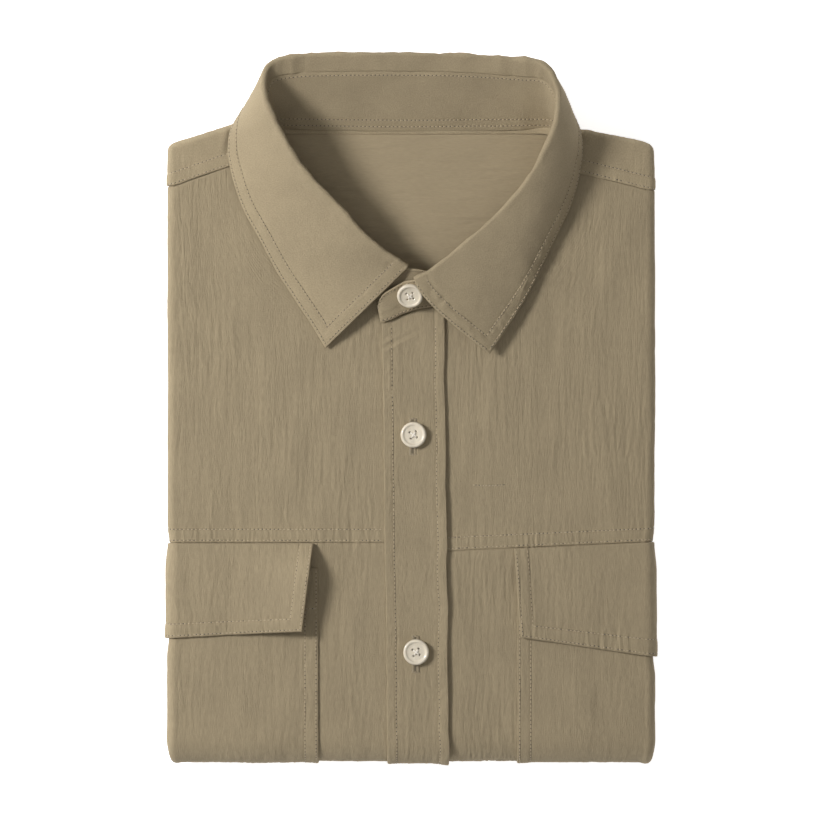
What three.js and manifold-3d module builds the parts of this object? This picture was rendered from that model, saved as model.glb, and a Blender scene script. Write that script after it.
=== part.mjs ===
import * as THREE from 'three';
import { mergeVertices } from 'three/addons/utils/BufferGeometryUtils.js';
import Module from 'manifold-3d';

// A button-front overshirt, folded and lying on its back.
// Millimetres, +Z up out of the table, +Y towards the collar, table at z = 0.
// Sides are the wearer's: the wearer's right is at negative x.

// Driving dimensions
const HALF_WIDTH = 119.3; // centre to the side fold, upper fronts
const POCKET_RELIEF = 1.3; // lower fronts lie this much further in, under the pockets
const RELIEF_FROM = -56; // the step starts at this y
const RELIEF_REACH = 10; // and takes this length
const STACK = 24; // height of the folded stack
const SHOULDER_DROP = 2; // the stack is this much lower at the shoulders
const DROP_START = 60;
const DROP_END = 138;
const CROWN = 1.0; // the top face falls this much from the centre to the sides
const CROWN_REACH = 70; // and the fall fades out over this length before the bottom fold
const MID = STACK / 2; // height of the middle of the stack, and radius of the bottom fold
const FOLD_Y = -161.5; // axis of the bottom fold
const SIDE_RADIUS = 3.5; // radius of the side folds of the upper and lower packets
const LAYER = MID - 2 * SIDE_RADIUS; // thickness of one inner layer
const CORNER_SHRINK = 3.2; // the bottom fold draws the sides in at its corners
const UNDER_SHRINK = 2.0; // the folded-under half is this much narrower at each side
const HEM_Y = 126; // end of the folded-under half
const WALL = 1.3; // body cloth
const PATCH = 1.0; // pocket cloth
const FLAP_WALL = 1.2; // two layers
const PLACKET_WALL = 1.4; // three layers
const COLLAR_WALL = 1.4; // two layers with interlining
const GAP = 0.3; // between neighbouring pieces
const TUCK = 4; // how far the fronts run in between the layers
const PATCH_WRAP = 150; // degrees that pockets and flaps run round the side fold
const FOLD_WRAP = 148; // degrees that pockets and placket run round the bottom fold
const FRONT_OVERLAP = 12; // x where the right front ends under the placket
const NECK_LOW_Y = 50; // the neckline's curve lies above this y
const FOLD_ARC = Math.PI * MID;

// Chest seam, yoke seam and shoulder fold, each a straight line across one side
const SIDES = {
  right: {
    sign: -1,
    chest: { x: -14, y: -65.7, slope: 0 },
    yokeSeam: { x: -87.7, y: 119.3, slope: 0.345 },
    pocketEdge: -45.4,
    flap: { topX: -47.8, bottomX: -53.2, bottomY: -109, slope: 0.055 },
  },
  left: {
    sign: 1,
    chest: { x: 17, y: -69.8, slope: 0.045 },
    yokeSeam: { x: 83.8, y: 115.4, slope: -0.246 },
    pocketEdge: 52.2,
    flap: { topX: 50.5, bottomX: 53.7, bottomY: -112.2, slope: -0.146 },
  },
};
const POCKET_MOUTH = -78;
const FLAP_DEPTH = 44;
const POCKET_TOP_RISE = 11; // the flap climbs on to the pocket over this length

// Right flap: its free edge stands up
const FLAP_LIFT = { middle: 9.5, middleAt: 0.38, corner: 7.5, reach: 62, power: 2.2 };

// Placket edges at the neck and at the bottom fold
const PLACKET = { topY: 44, neckLeft: -14.2, neckRight: 16.4, foldLeft: -11.6, foldRight: 18.8 };

// Buttons
const BUTTON = {
  radius: 6.35,
  height: 2.4,
  rim: 1.4,
  rimSlope: 0.6,
  edge: 0.5,
  back: 0.9,
  dish: 0.5,
  hole: 0.55,
  spacing: 1.4,
  turn: 10,
};
const BUTTON_1 = { x: 1.2, y: -12.9 };
const BUTTON_2 = { x: 2.5, y: -119.3 };
const BUTTON_SEGMENTS = 24;

// Number of steps along curved stretches
const WRAP_STEPS = 5;
const ARC_STEPS = 10;

function smooth(t) {
  const c = Math.min(1, Math.max(0, t));
  return c * c * (3 - 2 * c);
}

function lerp(a, b, t) {
  return a + (b - a) * t;
}

function radians(degrees) {
  return (degrees * Math.PI) / 180;
}

function range(from, to, steps) {
  return Array.from({ length: steps + 1 }, (_, i) => lerp(from, to, i / steps));
}

function lineAt(line, x) {
  return line.y + line.slope * (x - line.x);
}

// Body surface. s runs along the middle of the front: it equals y on the top face, goes on round
// the bottom fold, and then back along the underside.
function foldAngle(s) {
  return Math.min(Math.PI, Math.max(0, (FOLD_Y - s) / MID));
}

function topHeight(y) {
  return STACK - SHOULDER_DROP * smooth((y - DROP_START) / (DROP_END - DROP_START));
}

function crown(x, y) {
  const fade = smooth((y - FOLD_Y) / CROWN_REACH);
  return CROWN * fade * (x / HALF_WIDTH) ** 2;
}

function bodyTop(x, y) {
  return topHeight(y) - crown(x, y);
}

function halfWidth(s) {
  const relief = POCKET_RELIEF * smooth((RELIEF_FROM - s) / RELIEF_REACH);
  const angle = foldAngle(s);
  const corner = CORNER_SHRINK * Math.sin(angle) ** 2;
  const under = UNDER_SHRINK * smooth(angle / Math.PI);
  return HALF_WIDTH - relief - corner - under;
}

// A point at x across and h above the middle of the stack, carried along the fold path.
function place(x, h, s) {
  const angle = foldAngle(s);
  if (angle > 0 && angle < Math.PI) {
    return new THREE.Vector3(x, FOLD_Y - h * Math.sin(angle), MID + h * Math.cos(angle));
  }
  if (angle > 0) {
    return new THREE.Vector3(x, 2 * FOLD_Y - FOLD_ARC - s, MID - h);
  }
  const top = bodyTop(x, s);
  const packetFloor = top - 2 * SIDE_RADIUS;
  const z = h >= LAYER ? top - (MID - h) : MID + (h * (packetFloor - MID)) / LAYER;
  return new THREE.Vector3(x, s, z);
}

// A point of the packet's outer surface, u along the cloth from the centre line, moved out by off.
function surface(u, s, off) {
  const side = Math.sign(u) || 1;
  const flat = halfWidth(s) - SIDE_RADIUS;
  const past = Math.abs(u) - flat;
  const turn = Math.PI * SIDE_RADIUS;
  if (past <= 0) return place(u, MID + off, s);
  if (past <= turn) {
    const angle = past / SIDE_RADIUS;
    const reach = SIDE_RADIUS + off;
    const x = side * (flat + reach * Math.sin(angle));
    return place(x, MID - SIDE_RADIUS + reach * Math.cos(angle), s);
  }
  return place(side * (flat - (past - turn)), MID - 2 * SIDE_RADIUS - off, s);
}

// Distances along the cloth for columns from x = from to the side fold and round it.
function columns(from, side, s, flatSteps, wrapDegrees, tuck) {
  const flat = halfWidth(s) - SIDE_RADIUS;
  const across = range(from, side * flat, flatSteps);
  const turn = radians(wrapDegrees) * SIDE_RADIUS;
  const round = range(flat, flat + turn, WRAP_STEPS).slice(1);
  const under = tuck > 0 ? [flat + turn + tuck] : [];
  return [...across, ...[...round, ...under].map((u) => side * u)];
}

// Closed mesh from two matching grids of points, the second one the inner face.
function slab(outer, inner) {
  const rows = outer.length;
  const cols = outer[0].length;
  const positions = [...outer, ...inner].flat().flatMap((p) => [p.x, p.y, p.z]);
  const at = (face, i, j) => (face * rows + i) * cols + j;
  const index = [];
  const quad = (a, b, c, d) => index.push(a, b, c, a, c, d);
  for (let i = 0; i < rows - 1; i += 1) {
    for (let j = 0; j < cols - 1; j += 1) {
      quad(at(0, i, j), at(0, i, j + 1), at(0, i + 1, j + 1), at(0, i + 1, j));
      quad(at(1, i, j), at(1, i + 1, j), at(1, i + 1, j + 1), at(1, i, j + 1));
    }
  }
  for (let j = 0; j < cols - 1; j += 1) {
    quad(at(0, 0, j), at(1, 0, j), at(1, 0, j + 1), at(0, 0, j + 1));
    quad(at(0, rows - 1, j), at(0, rows - 1, j + 1), at(1, rows - 1, j + 1), at(1, rows - 1, j));
  }
  for (let i = 0; i < rows - 1; i += 1) {
    quad(at(0, i, 0), at(0, i + 1, 0), at(1, i + 1, 0), at(1, i, 0));
    quad(at(0, i, cols - 1), at(1, i, cols - 1), at(1, i + 1, cols - 1), at(0, i + 1, cols - 1));
  }
  return facingOut(positions, index);
}

function signedVolume(positions, index) {
  let total = 0;
  for (let k = 0; k < index.length; k += 3) {
    const [a, b, c] = [index[k], index[k + 1], index[k + 2]].map((v) =>
      new THREE.Vector3().fromArray(positions, 3 * v));
    total += a.dot(b.cross(c)) / 6;
  }
  return total;
}

function facingOut(positions, index) {
  const triangles = signedVolume(positions, index) < 0 ? index.slice().reverse() : index;
  const geometry = new THREE.BufferGeometry();
  geometry.setAttribute('position', new THREE.Float32BufferAttribute(positions, 3));
  geometry.setIndex(triangles);
  return geometry;
}

// Unit normals of a grid, each the same way as the hint at that point.
function gridNormals(grid, hint) {
  const rows = grid.length;
  const cols = grid[0].length;
  return grid.map((row, i) => row.map((p, j) => {
    const along = grid[Math.min(i + 1, rows - 1)][j].clone().sub(grid[Math.max(i - 1, 0)][j]);
    const across = row[Math.min(j + 1, cols - 1)].clone().sub(row[Math.max(j - 1, 0)]);
    const normal = along.cross(across).normalize();
    return normal.multiplyScalar(hint);
  }));
}

function offsetGrid(grid, distance, hint) {
  const normals = gridNormals(grid, hint);
  return grid.map((row, i) => row.map((p, j) => p.clone().addScaledVector(normals[i][j], distance)));
}

// A patch of the body surface between two offsets. rows lists s for each row; uAt gives a row's u.
function bodyPatch(rows, uAt, low, high) {
  const face = (off) => rows.map((row) => uAt(row).map((u) => surface(u, row, off(row, u))));
  return slab(face(high), face(low));
}

// Rows along the path from s = from on the top face, round the bottom fold by the given degrees.
function pathRows(from, topSteps, foldDegrees, underEnd) {
  const turn = MID * radians(foldDegrees);
  const foldSteps = Math.round((ARC_STEPS * foldDegrees) / 180);
  const top = range(from, FOLD_Y, topSteps);
  const fold = range(FOLD_Y, FOLD_Y - turn, foldSteps).slice(1);
  const under = underEnd === undefined ? [] : [lerp(fold.at(-1), underEnd, 0.5), underEnd];
  return [...top, ...fold, ...under];
}

const HEM_S = 2 * FOLD_Y - FOLD_ARC - HEM_Y;

// Inner edges of the upper fronts, from the chest seam to the yoke seam
const NECKLINE = {
  right: [
    { x: FRONT_OVERLAP, y: -65.7 },
    { x: FRONT_OVERLAP, y: 0 },
    { x: FRONT_OVERLAP, y: 54.2 },
    { x: 1, y: 54.2 },
    { x: -13, y: 55.2 },
    { x: -26.5, y: 59.3 },
    { x: -41.5, y: 66 },
    { x: -55, y: 76.8 },
    { x: -66.5, y: 91.5 },
    { x: -74, y: 106 },
    { x: -76.4, y: 115 },
    { x: -76.2, y: 123.3 },
  ],
  left: [
    { x: FRONT_OVERLAP + GAP, y: -70 },
    { x: FRONT_OVERLAP + GAP, y: 0 },
    { x: FRONT_OVERLAP + GAP, y: 52.5 },
    { x: 23, y: 57 },
    { x: 37, y: 64.3 },
    { x: 52.3, y: 76.5 },
    { x: 64, y: 91.5 },
    { x: 71.3, y: 106 },
    { x: 75.2, y: 117.5 },
  ],
};

// Length along a list of points, as fractions of the whole.
function fractions(points) {
  const lengths = [0];
  for (let i = 1; i < points.length; i += 1) {
    const step = Math.hypot(points[i].x - points[i - 1].x, points[i].y - points[i - 1].y);
    lengths.push(lengths[i - 1] + step);
  }
  return lengths.map((l) => l / lengths.at(-1));
}

// Upper front: a fan of rows from the inner edge to the side fold and round it.
function frontUpper(side) {
  const { sign, chest, yokeSeam } = SIDES[side];
  const edge = NECKLINE[side];
  const share = fractions(edge);
  const flat = sign * (HALF_WIDTH - SIDE_RADIUS);
  const low = lineAt(chest, flat);
  const high = lineAt(yokeSeam, sign * HALF_WIDTH);
  const face = (off) => edge.map((start, i) => {
    const sideY = lerp(low, high, share[i]);
    return columns(start.x, sign, sideY, 5, 180, TUCK).map((u) => {
      const t = Math.min(1, Math.abs((u - start.x) / (flat - start.x)));
      return surface(u, lerp(start.y, sideY, t), off);
    });
  });
  return slab(face(0), face(-WALL));
}

// Lower front: from the chest seam round the bottom fold to the hem on the underside.
function frontLower(side) {
  const { sign, chest } = SIDES[side];
  const from = side === 'right' ? FRONT_OVERLAP : FRONT_OVERLAP + GAP;
  const seamY = lineAt(chest, sign * HALF_WIDTH / 2) - GAP;
  const slope = chest.slope;
  const rows = pathRows(seamY, 4, 180, HEM_S);
  const uAt = (s) => columns(from, sign, s, 4, 180, TUCK);
  const skew = (s, u) => {
    const fade = smooth((s - FOLD_Y) / (seamY - FOLD_Y));
    const x = sign * Math.min(Math.abs(u), HALF_WIDTH - SIDE_RADIUS);
    return s + fade * slope * (x - sign * HALF_WIDTH / 2);
  };
  const face = (off) => rows.map((s) => uAt(s).map((u) => surface(u, skew(s, u), off)));
  return slab(face(0), face(-WALL));
}

function placketEdges(s) {
  const t = Math.min(1, (PLACKET.topY - s) / (PLACKET.topY - FOLD_Y));
  return [lerp(PLACKET.neckLeft, PLACKET.foldLeft, t), lerp(PLACKET.neckRight, PLACKET.foldRight, t)];
}

// The placket's upper end is cut along the stand's seam.
const PLACKET_END = [
  { x: -14.2, y: 41.5 },
  { x: -4.4, y: 45.8 },
  { x: 4, y: 48.6 },
  { x: 16.4, y: 50.8 },
];

function placketEndY(x) {
  const next = PLACKET_END.findIndex((p) => p.x >= x);
  if (next <= 0) return PLACKET_END[0].y;
  const a = PLACKET_END[next - 1];
  const b = PLACKET_END[next];
  return lerp(a.y, b.y, (x - a.x) / (b.x - a.x));
}

function placket() {
  const rows = pathRows(PLACKET.topY, 6, FOLD_WRAP);
  const stretch = (s, u) => {
    const fade = smooth(s / PLACKET.topY);
    return s + fade * (placketEndY(u) - PLACKET.topY);
  };
  const face = (off) => rows.map((s) => {
    const [left, right] = placketEdges(s);
    return range(left, right, 4).map((u) => surface(u, stretch(s, u), off));
  });
  return slab(face(GAP + PLACKET_WALL), face(GAP));
}

function pocket(side) {
  const { sign, pocketEdge } = SIDES[side];
  const rows = pathRows(POCKET_MOUTH, 3, FOLD_WRAP);
  const uAt = (s) => columns(pocketEdge, sign, s, 3, PATCH_WRAP, 0);
  return bodyPatch(rows, uAt, () => GAP, () => GAP + PATCH);
}

// How far a flap lies above the front, at a distance from its free edge and a share of its depth.
function flapLift(side, inward, t) {
  const onPocket = smooth((t * FLAP_DEPTH) / POCKET_TOP_RISE) * (PATCH + GAP);
  if (side === 'left') return GAP + onPocket;
  const { middle, middleAt, corner, reach, power } = FLAP_LIFT;
  const rise = t < middleAt
    ? middle * Math.sin((t / middleAt) * (Math.PI / 2))
    : lerp(middle, corner, smooth((t - middleAt) / (1 - middleAt)));
  const near = Math.max(0, 1 - inward / reach) ** power;
  return GAP + Math.max(onPocket, rise * near);
}

function flap(side) {
  const { sign, chest, flap: cut } = SIDES[side];
  const face = (extra) => range(0, 1, 7).map((t) => {
    const edgeX = lerp(cut.topX, cut.bottomX, t);
    const middle = lerp(chest.y, cut.bottomY, t);
    return columns(edgeX, sign, middle, 7, PATCH_WRAP, 0).map((u) => {
      const x = sign * Math.min(Math.abs(u), HALF_WIDTH);
      const top = lineAt(chest, x) - GAP;
      const bottom = cut.bottomY + cut.slope * (x - cut.bottomX);
      const lift = flapLift(side, Math.abs(x - edgeX), t);
      return surface(u, lerp(top, bottom, t), lift + extra);
    });
  });
  return slab(face(FLAP_WALL), face(0));
}

// Yoke: a strip over the shoulder folds and along the back neck.
// out is the folded edge seen from above, top the edge at the seam, drop how far it lies below
// the body's top face, and radius the radius of its fold.
const YOKE_SIDE = {
  right: [
    { outX: -119.3, outY: 109.2, topX: -115.2, topY: 110.4, drop: 0, radius: 3.5 },
    { outX: -119.3, outY: 116, topX: -113, topY: 111.2, drop: 0, radius: 3.5 },
    { outX: -119.2, outY: 122.5, topX: -110, topY: 112.2, drop: 0, radius: 3.5 },
    { outX: -118.2, outY: 125.4, topX: -107, topY: 113.3, drop: 0, radius: 3.5 },
    { outX: -115.4, outY: 127.6, topX: -103, topY: 114.7, drop: 0, radius: 3.5 },
    { outX: -110, outY: 129.6, topX: -98, topY: 116.4, drop: 0, radius: 3.5 },
    { outX: -98, outY: 133.7, topX: -90, topY: 119.1, drop: 0, radius: 3.5 },
    { outX: -86, outY: 137.5, topX: -81, topY: 122.2, drop: 0, radius: 3.5 },
    { outX: -80, outY: 138.6, topX: -75.2, topY: 125.2, drop: 0.2, radius: 3.4 },
    { outX: -74, outY: 139, topX: -71.8, topY: 131.2, drop: 1.4, radius: 3.1 },
    { outX: -67, outY: 139, topX: -66.5, topY: 134.6, drop: 4, radius: 2.5 },
    { outX: -56, outY: 138.8, topX: -56, topY: 135.1, drop: 5.6, radius: 2.2 },
    { outX: -28, outY: 138.6, topX: -28, topY: 135, drop: 5.9, radius: 2.1 },
  ],
  middle: [{ outX: 0, outY: 138.5, topX: 0, topY: 135, drop: 6, radius: 2.1 }],
  left: [
    { outX: 28, outY: 138.6, topX: 28, topY: 135, drop: 5.9, radius: 2.1 },
    { outX: 56, outY: 138.8, topX: 56, topY: 135.1, drop: 5.6, radius: 2.2 },
    { outX: 67, outY: 138.6, topX: 67, topY: 134.6, drop: 4, radius: 2.5 },
    { outX: 73, outY: 138.2, topX: 71.4, topY: 131.2, drop: 1.4, radius: 3.1 },
    { outX: 79, outY: 137.3, topX: 74.8, topY: 123.6, drop: 0.2, radius: 3.4 },
    { outX: 85, outY: 136, topX: 80, topY: 116.9, drop: 0, radius: 3.5 },
    { outX: 98, outY: 132.6, topX: 90, topY: 114.5, drop: 0, radius: 3.5 },
    { outX: 110, outY: 129.4, topX: 98, topY: 112.5, drop: 0, radius: 3.5 },
    { outX: 115.4, outY: 127.6, topX: 103, topY: 111.3, drop: 0, radius: 3.5 },
    { outX: 118.2, outY: 125.2, topX: 107, topY: 110.3, drop: 0, radius: 3.5 },
    { outX: 119.2, outY: 121.5, topX: 110, topY: 109.6, drop: 0, radius: 3.5 },
    { outX: 119.3, outY: 114, topX: 113, topY: 108.9, drop: 0, radius: 3.5 },
    { outX: 119.3, outY: 107.4, topX: 115.2, topY: 108.4, drop: 0, radius: 3.5 },
  ],
};

function yoke() {
  const table = [...YOKE_SIDE.right, ...YOKE_SIDE.middle, ...YOKE_SIDE.left];
  const column = (row, i, inset) => {
    const before = table[Math.max(0, i - 1)];
    const after = table[Math.min(table.length - 1, i + 1)];
    const along = new THREE.Vector2(after.outX - before.outX, after.outY - before.outY).normalize();
    const out = new THREE.Vector2(-along.y, along.x);
    const foldX = row.outX - out.x * row.radius;
    const foldY = row.outY - out.y * row.radius;
    const topAt = (t) => {
      const x = lerp(row.topX, foldX, t);
      const y = lerp(row.topY, foldY, t);
      return new THREE.Vector3(x, y, bodyTop(x, y) - row.drop - inset);
    };
    const height = bodyTop(foldX, foldY) - row.drop - row.radius;
    const reach = row.radius - inset;
    const round = range(0, Math.PI, WRAP_STEPS + 1).slice(1).map((angle) => new THREE.Vector3(
      foldX + out.x * reach * Math.sin(angle),
      foldY + out.y * reach * Math.sin(angle),
      height + reach * Math.cos(angle)));
    return [topAt(0), topAt(0.5), topAt(1), ...round];
  };
  const face = (inset) => table.map((row, i) => column(row, i, inset));
  return slab(face(0), face(WALL));
}

// The hidden layers, one solid with layered edges, swept along the fold path.
const CORE = {
  inset: WALL + GAP,
  endInset: SIDE_RADIUS + GAP,
  slit: 0.4, // half the gap left in the middle of the fold
  layerEdge: 2.5, // the inner layers end this much inside the side folds
  ease: 0.3, // kept clear of the fronts along the sides
  cornerStart: 108, // the shoulder corners are cut back from here
  cornerCut: 0.5,
  shoulderX: 85,
  shoulderY: 137.3,
  cornerX: 118,
  cornerY: 126.7,
};

function coreEnd(x) {
  const past = Math.max(0, Math.abs(x) - CORE.shoulderX);
  const fall = (CORE.shoulderY - CORE.cornerY) / (CORE.cornerX - CORE.shoulderX);
  const corner = Math.max(0, Math.abs(x) - CORE.cornerStart) * CORE.cornerCut;
  return CORE.shoulderY - CORE.endInset - past * fall - corner;
}

function coreSection(s) {
  const width = Math.min(halfWidth(s), HALF_WIDTH - POCKET_RELIEF - CORE.ease);
  const flat = width - SIDE_RADIUS;
  const packetRadius = SIDE_RADIUS - CORE.inset;
  const layerRadius = (LAYER - GAP - CORE.slit) / 2;
  const layerX = width - CORE.layerEdge - layerRadius;
  const slitX = flat - TUCK - 1;
  const arc = (x, h, radius) => range(0, Math.PI, 4).map((a) => ({
    x: x + radius * Math.sin(a),
    h: h + radius * Math.cos(a),
  }));
  const half = [
    ...range(flat / 4, (3 * flat) / 4, 2).map((x) => ({ x, h: MID - CORE.inset })),
    ...arc(flat, MID - SIDE_RADIUS, packetRadius),
    { x: slitX, h: MID - SIDE_RADIUS - packetRadius },
    { x: slitX, h: LAYER - GAP },
    ...arc(layerX, CORE.slit + layerRadius, layerRadius),
    { x: flat / 2, h: CORE.slit },
  ];
  const mirrored = half.slice().reverse().map((p) => ({ x: -p.x, h: p.h }));
  return [{ x: 0, h: MID - CORE.inset }, ...half, { x: 0, h: CORE.slit }, ...mirrored];
}

function corePoint(p, s) {
  if (s < FOLD_Y) return place(p.x, p.h, s);
  const t = (s - FOLD_Y) / (CORE.shoulderY - FOLD_Y);
  return place(p.x, p.h, lerp(FOLD_Y, coreEnd(p.x), t));
}

// Closed tube from rings of points, its two ends filled.
function tubeSolid(rings, profile) {
  const count = profile.length;
  const positions = rings.flat().flatMap((p) => [p.x, p.y, p.z]);
  const index = [];
  for (let i = 0; i < rings.length - 1; i += 1) {
    for (let j = 0; j < count; j += 1) {
      const a = i * count + j;
      const b = i * count + ((j + 1) % count);
      index.push(a, b, b + count, a, b + count, a + count);
    }
  }
  const cap = THREE.ShapeUtils.triangulateShape(profile, []);
  const last = (rings.length - 1) * count;
  cap.forEach(([a, b, c]) => index.push(a, b, c, last + a, last + c, last + b));
  return facingOut(positions, index);
}

function layersSolid() {
  const stations = [
    ...range(CORE.shoulderY, DROP_START, 3),
    ...range(DROP_START, FOLD_Y, 4).slice(1),
    ...range(FOLD_Y, FOLD_Y - FOLD_ARC, ARC_STEPS).slice(1),
    HEM_S + GAP,
  ];
  const rings = stations.map((s) => coreSection(s).map((p) => corePoint(p, s)));
  const profile = coreSection(0).map((p) => new THREE.Vector2(p.x, p.h));
  return tubeSolid(rings, profile);
}

// Outline of the neck hole, open past the back neck, for cutting the hidden layers
function neckOutline() {
  const { flare, behindY } = NECK_CUT;
  const right = NECKLINE.right.filter((p) => p.y > NECK_LOW_Y).map((p) => [p.x, p.y]);
  const left = NECKLINE.left.filter((p) => p.y > NECK_LOW_Y).map((p) => [p.x, p.y]);
  const rightEnd = right.at(-1)[0];
  const leftEnd = left.at(-1)[0];
  const behind = [[rightEnd - flare, behindY], [leftEnd + flare, behindY]];
  return [...right, ...behind, ...left.reverse()];
}

const NECK_CUT = { top: STACK + 10, behindY: 150, flare: 9 };

function neckPrism() {
  const outline = neckOutline().map(([x, y]) => new THREE.Vector2(x, y));
  const shape = new THREE.Shape(outline);
  const prism = new THREE.ExtrudeGeometry(shape, {
    depth: NECK_CUT.top,
    bevelEnabled: false,
    steps: 1,
  });
  const position = prism.getAttribute('position');
  for (let i = 0; i < position.count; i += 1) {
    const deep = position.getZ(i) < NECK_CUT.top / 2;
    const y = position.getY(i);
    const floor = bodyTop(0, y) - 2 * SIDE_RADIUS - GAP;
    position.setZ(i, deep ? floor : NECK_CUT.top);
  }
  return prism;
}

// Solid bodies for cutting
const wasm = await Module();
wasm.setup();

function toSolid(geometry) {
  const bare = geometry.clone();
  bare.deleteAttribute('normal');
  bare.deleteAttribute('uv');
  const merged = mergeVertices(bare, 1e-4);
  return new wasm.Manifold(new wasm.Mesh({
    numProp: 3,
    vertProperties: Float32Array.from(merged.getAttribute('position').array),
    triVerts: Uint32Array.from(merged.getIndex().array),
  }));
}

function fromSolid(solid) {
  const mesh = solid.getMesh();
  const geometry = new THREE.BufferGeometry();
  geometry.setAttribute('position', new THREE.Float32BufferAttribute(mesh.vertProperties, 3));
  geometry.setIndex(Array.from(mesh.triVerts));
  return geometry;
}

function foldedLayers() {
  return fromSolid(toSolid(layersSolid()).subtract(toSolid(neckPrism())));
}

// Inside of the back, the floor of the neck hollow
const LINING = { edge: 1.0, frontY: 57.5, backY: 134, rows: 8, columns: 6, wall: 1.2 };

function neckReach(side, y) {
  const edge = NECKLINE[side].filter((p) => p.y > NECK_LOW_Y);
  const next = edge.findIndex((p) => p.y >= y && p.y > edge[1].y);
  if (next < 0) return edge.at(-1).x;
  const a = edge[next - 1];
  const b = edge[next];
  return lerp(a.x, b.x, (y - a.y) / (b.y - a.y || 1));
}

function yokeLining() {
  const rows = range(LINING.frontY, LINING.backY, LINING.rows);
  const face = (rise) => rows.map((y) => {
    const right = neckReach('right', y) + LINING.edge;
    const left = neckReach('left', y) - LINING.edge;
    const z = bodyTop(0, y) - 2 * SIDE_RADIUS + rise;
    return range(right, left, LINING.columns).map((x) => new THREE.Vector3(x, y, z));
  });
  return slab(face(LINING.wall), face(0));
}

// Collar and stand. Each row is one section round the neck, from the front end of the left leaf
// (positive x) to the front end of the right leaf. seam is where the stand meets the body, crest
// the highest line where the collar rolls over, edge the collar's outer edge; strip is the width
// of collar between the stand's upper edge and the roll, bulge how far the fall is rounded out.
const COLLAR = [
  { seam: [1.3, 48.5, 26.1], crest: [2.0, 66.5, 39.3], edge: [38.5, 26.5, 29.4], strip: 1, bulge: 0.5 },
  { seam: [12, 50.5, 26.1], crest: [9.5, 68.6, 39], edge: [43.5, 34, 28.9], strip: 1.5, bulge: 1.5 },
  { seam: [24, 55, 25.1], crest: [19.1, 75.6, 39.5], edge: [49.5, 43, 28.4], strip: 2, bulge: 2.5 },
  { seam: [38, 62.5, 24.4], crest: [31.4, 86, 40.5], edge: [56.6, 54.5, 27.4], strip: 2, bulge: 3 },
  { seam: [54, 75, 24.1], crest: [43, 96.5, 41.5], edge: [63.2, 68, 26.2], strip: 2, bulge: 3.5 },
  { seam: [66, 90, 23.7], crest: [52, 106.5, 42.6], edge: [72, 86, 25.5], strip: 2, bulge: 4 },
  { seam: [73.5, 105, 23.1], crest: [59.4, 117, 43.4], edge: [79.5, 102, 25], strip: 2, bulge: 4 },
  { seam: [77, 118, 22.6], crest: [65.6, 129, 43.8], edge: [83.2, 117.5, 24.6], strip: 2, bulge: 4 },
  { seam: [76.5, 127, 22.3], crest: [69.7, 140, 43.6], edge: [83.8, 130, 23.8], strip: 2, bulge: 4 },
  { seam: [74, 133, 22], crest: [71.2, 149.5, 42.4], edge: [81.5, 140, 18], strip: 3, bulge: 4 },
  { seam: [70.5, 136.2, 20.6], crest: [70.6, 158.5, 40.2], edge: [76, 147.5, 9], strip: 4.5, bulge: 4.5 },
  { seam: [65, 136.9, 18.7], crest: [65.2, 167, 37.6], edge: [66, 151.5, 3.4], strip: 7, bulge: 5 },
  { seam: [51, 136.6, 17.9], crest: [51.5, 171.2, 35.4], edge: [51, 150, 1.9], strip: 8, bulge: 5 },
  { seam: [26, 136.2, 17.6], crest: [26, 172.9, 34.4], edge: [26, 149.5, 1.9], strip: 8, bulge: 5 },
  { seam: [0, 136, 17.5], crest: [-1, 173.5, 34], edge: [0, 149.5, 1.9], strip: 8, bulge: 5 },
  { seam: [-26, 136.2, 17.6], crest: [-28, 173.4, 34.4], edge: [-26, 149.5, 1.9], strip: 8, bulge: 5 },
  { seam: [-51, 136.6, 17.9], crest: [-55, 172.5, 35.4], edge: [-51, 150, 1.9], strip: 8, bulge: 5 },
  { seam: [-63, 137, 18.7], crest: [-68.4, 168.6, 37.6], edge: [-67, 152, 3.4], strip: 7, bulge: 5 },
  { seam: [-67.5, 136.2, 20.6], crest: [-71.4, 160, 40.2], edge: [-78, 148.5, 9], strip: 4.5, bulge: 4.5 },
  { seam: [-72, 133, 22], crest: [-70.2, 151, 42.4], edge: [-85, 143, 18], strip: 3, bulge: 4 },
  { seam: [-76, 127, 22.3], crest: [-66.3, 142, 43.6], edge: [-89.2, 135, 23.8], strip: 2, bulge: 3.5 },
  { seam: [-78.5, 118, 22.6], crest: [-60.4, 130.8, 43.8], edge: [-90, 124.5, 24.6], strip: 2, bulge: 3 },
  { seam: [-76.5, 105, 23.1], crest: [-53.4, 119.2, 43.4], edge: [-87.2, 111.5, 25], strip: 2, bulge: 3 },
  { seam: [-69, 90, 23.7], crest: [-44.5, 109, 42.6], edge: [-82.5, 98, 25.5], strip: 2, bulge: 3 },
  { seam: [-57, 75, 24.1], crest: [-34.5, 99.6, 41.2], edge: [-74.6, 83.5, 25.8], strip: 2, bulge: 3 },
  { seam: [-43, 64, 24.4], crest: [-24, 87.4, 39], edge: [-66, 67.2, 26], strip: 2, bulge: 2.5 },
  { seam: [-28, 57, 24.5], crest: [-14.2, 78.8, 37], edge: [-57.4, 53.8, 26], strip: 2, bulge: 2 },
  { seam: [-14, 53, 24.6], crest: [-6.5, 73.4, 34.7], edge: [-49, 41.2, 26.1], strip: 1.5, bulge: 1.2 },
  { seam: [-4, 52.2, 24.6], crest: [-1.2, 69.9, 33.2], edge: [-41.9, 29.4, 26.1], strip: 1, bulge: 0.5 },
];
const ROLL_RADIUS = 3.0;
const ROLL_STEPS = 5;
const FALL_STEPS = 5;
const STAND_STEPS = 3;
const SECTIONS_BETWEEN = 2; // sections made between two rows of the table

function vector(list) {
  return new THREE.Vector3(...list);
}

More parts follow.
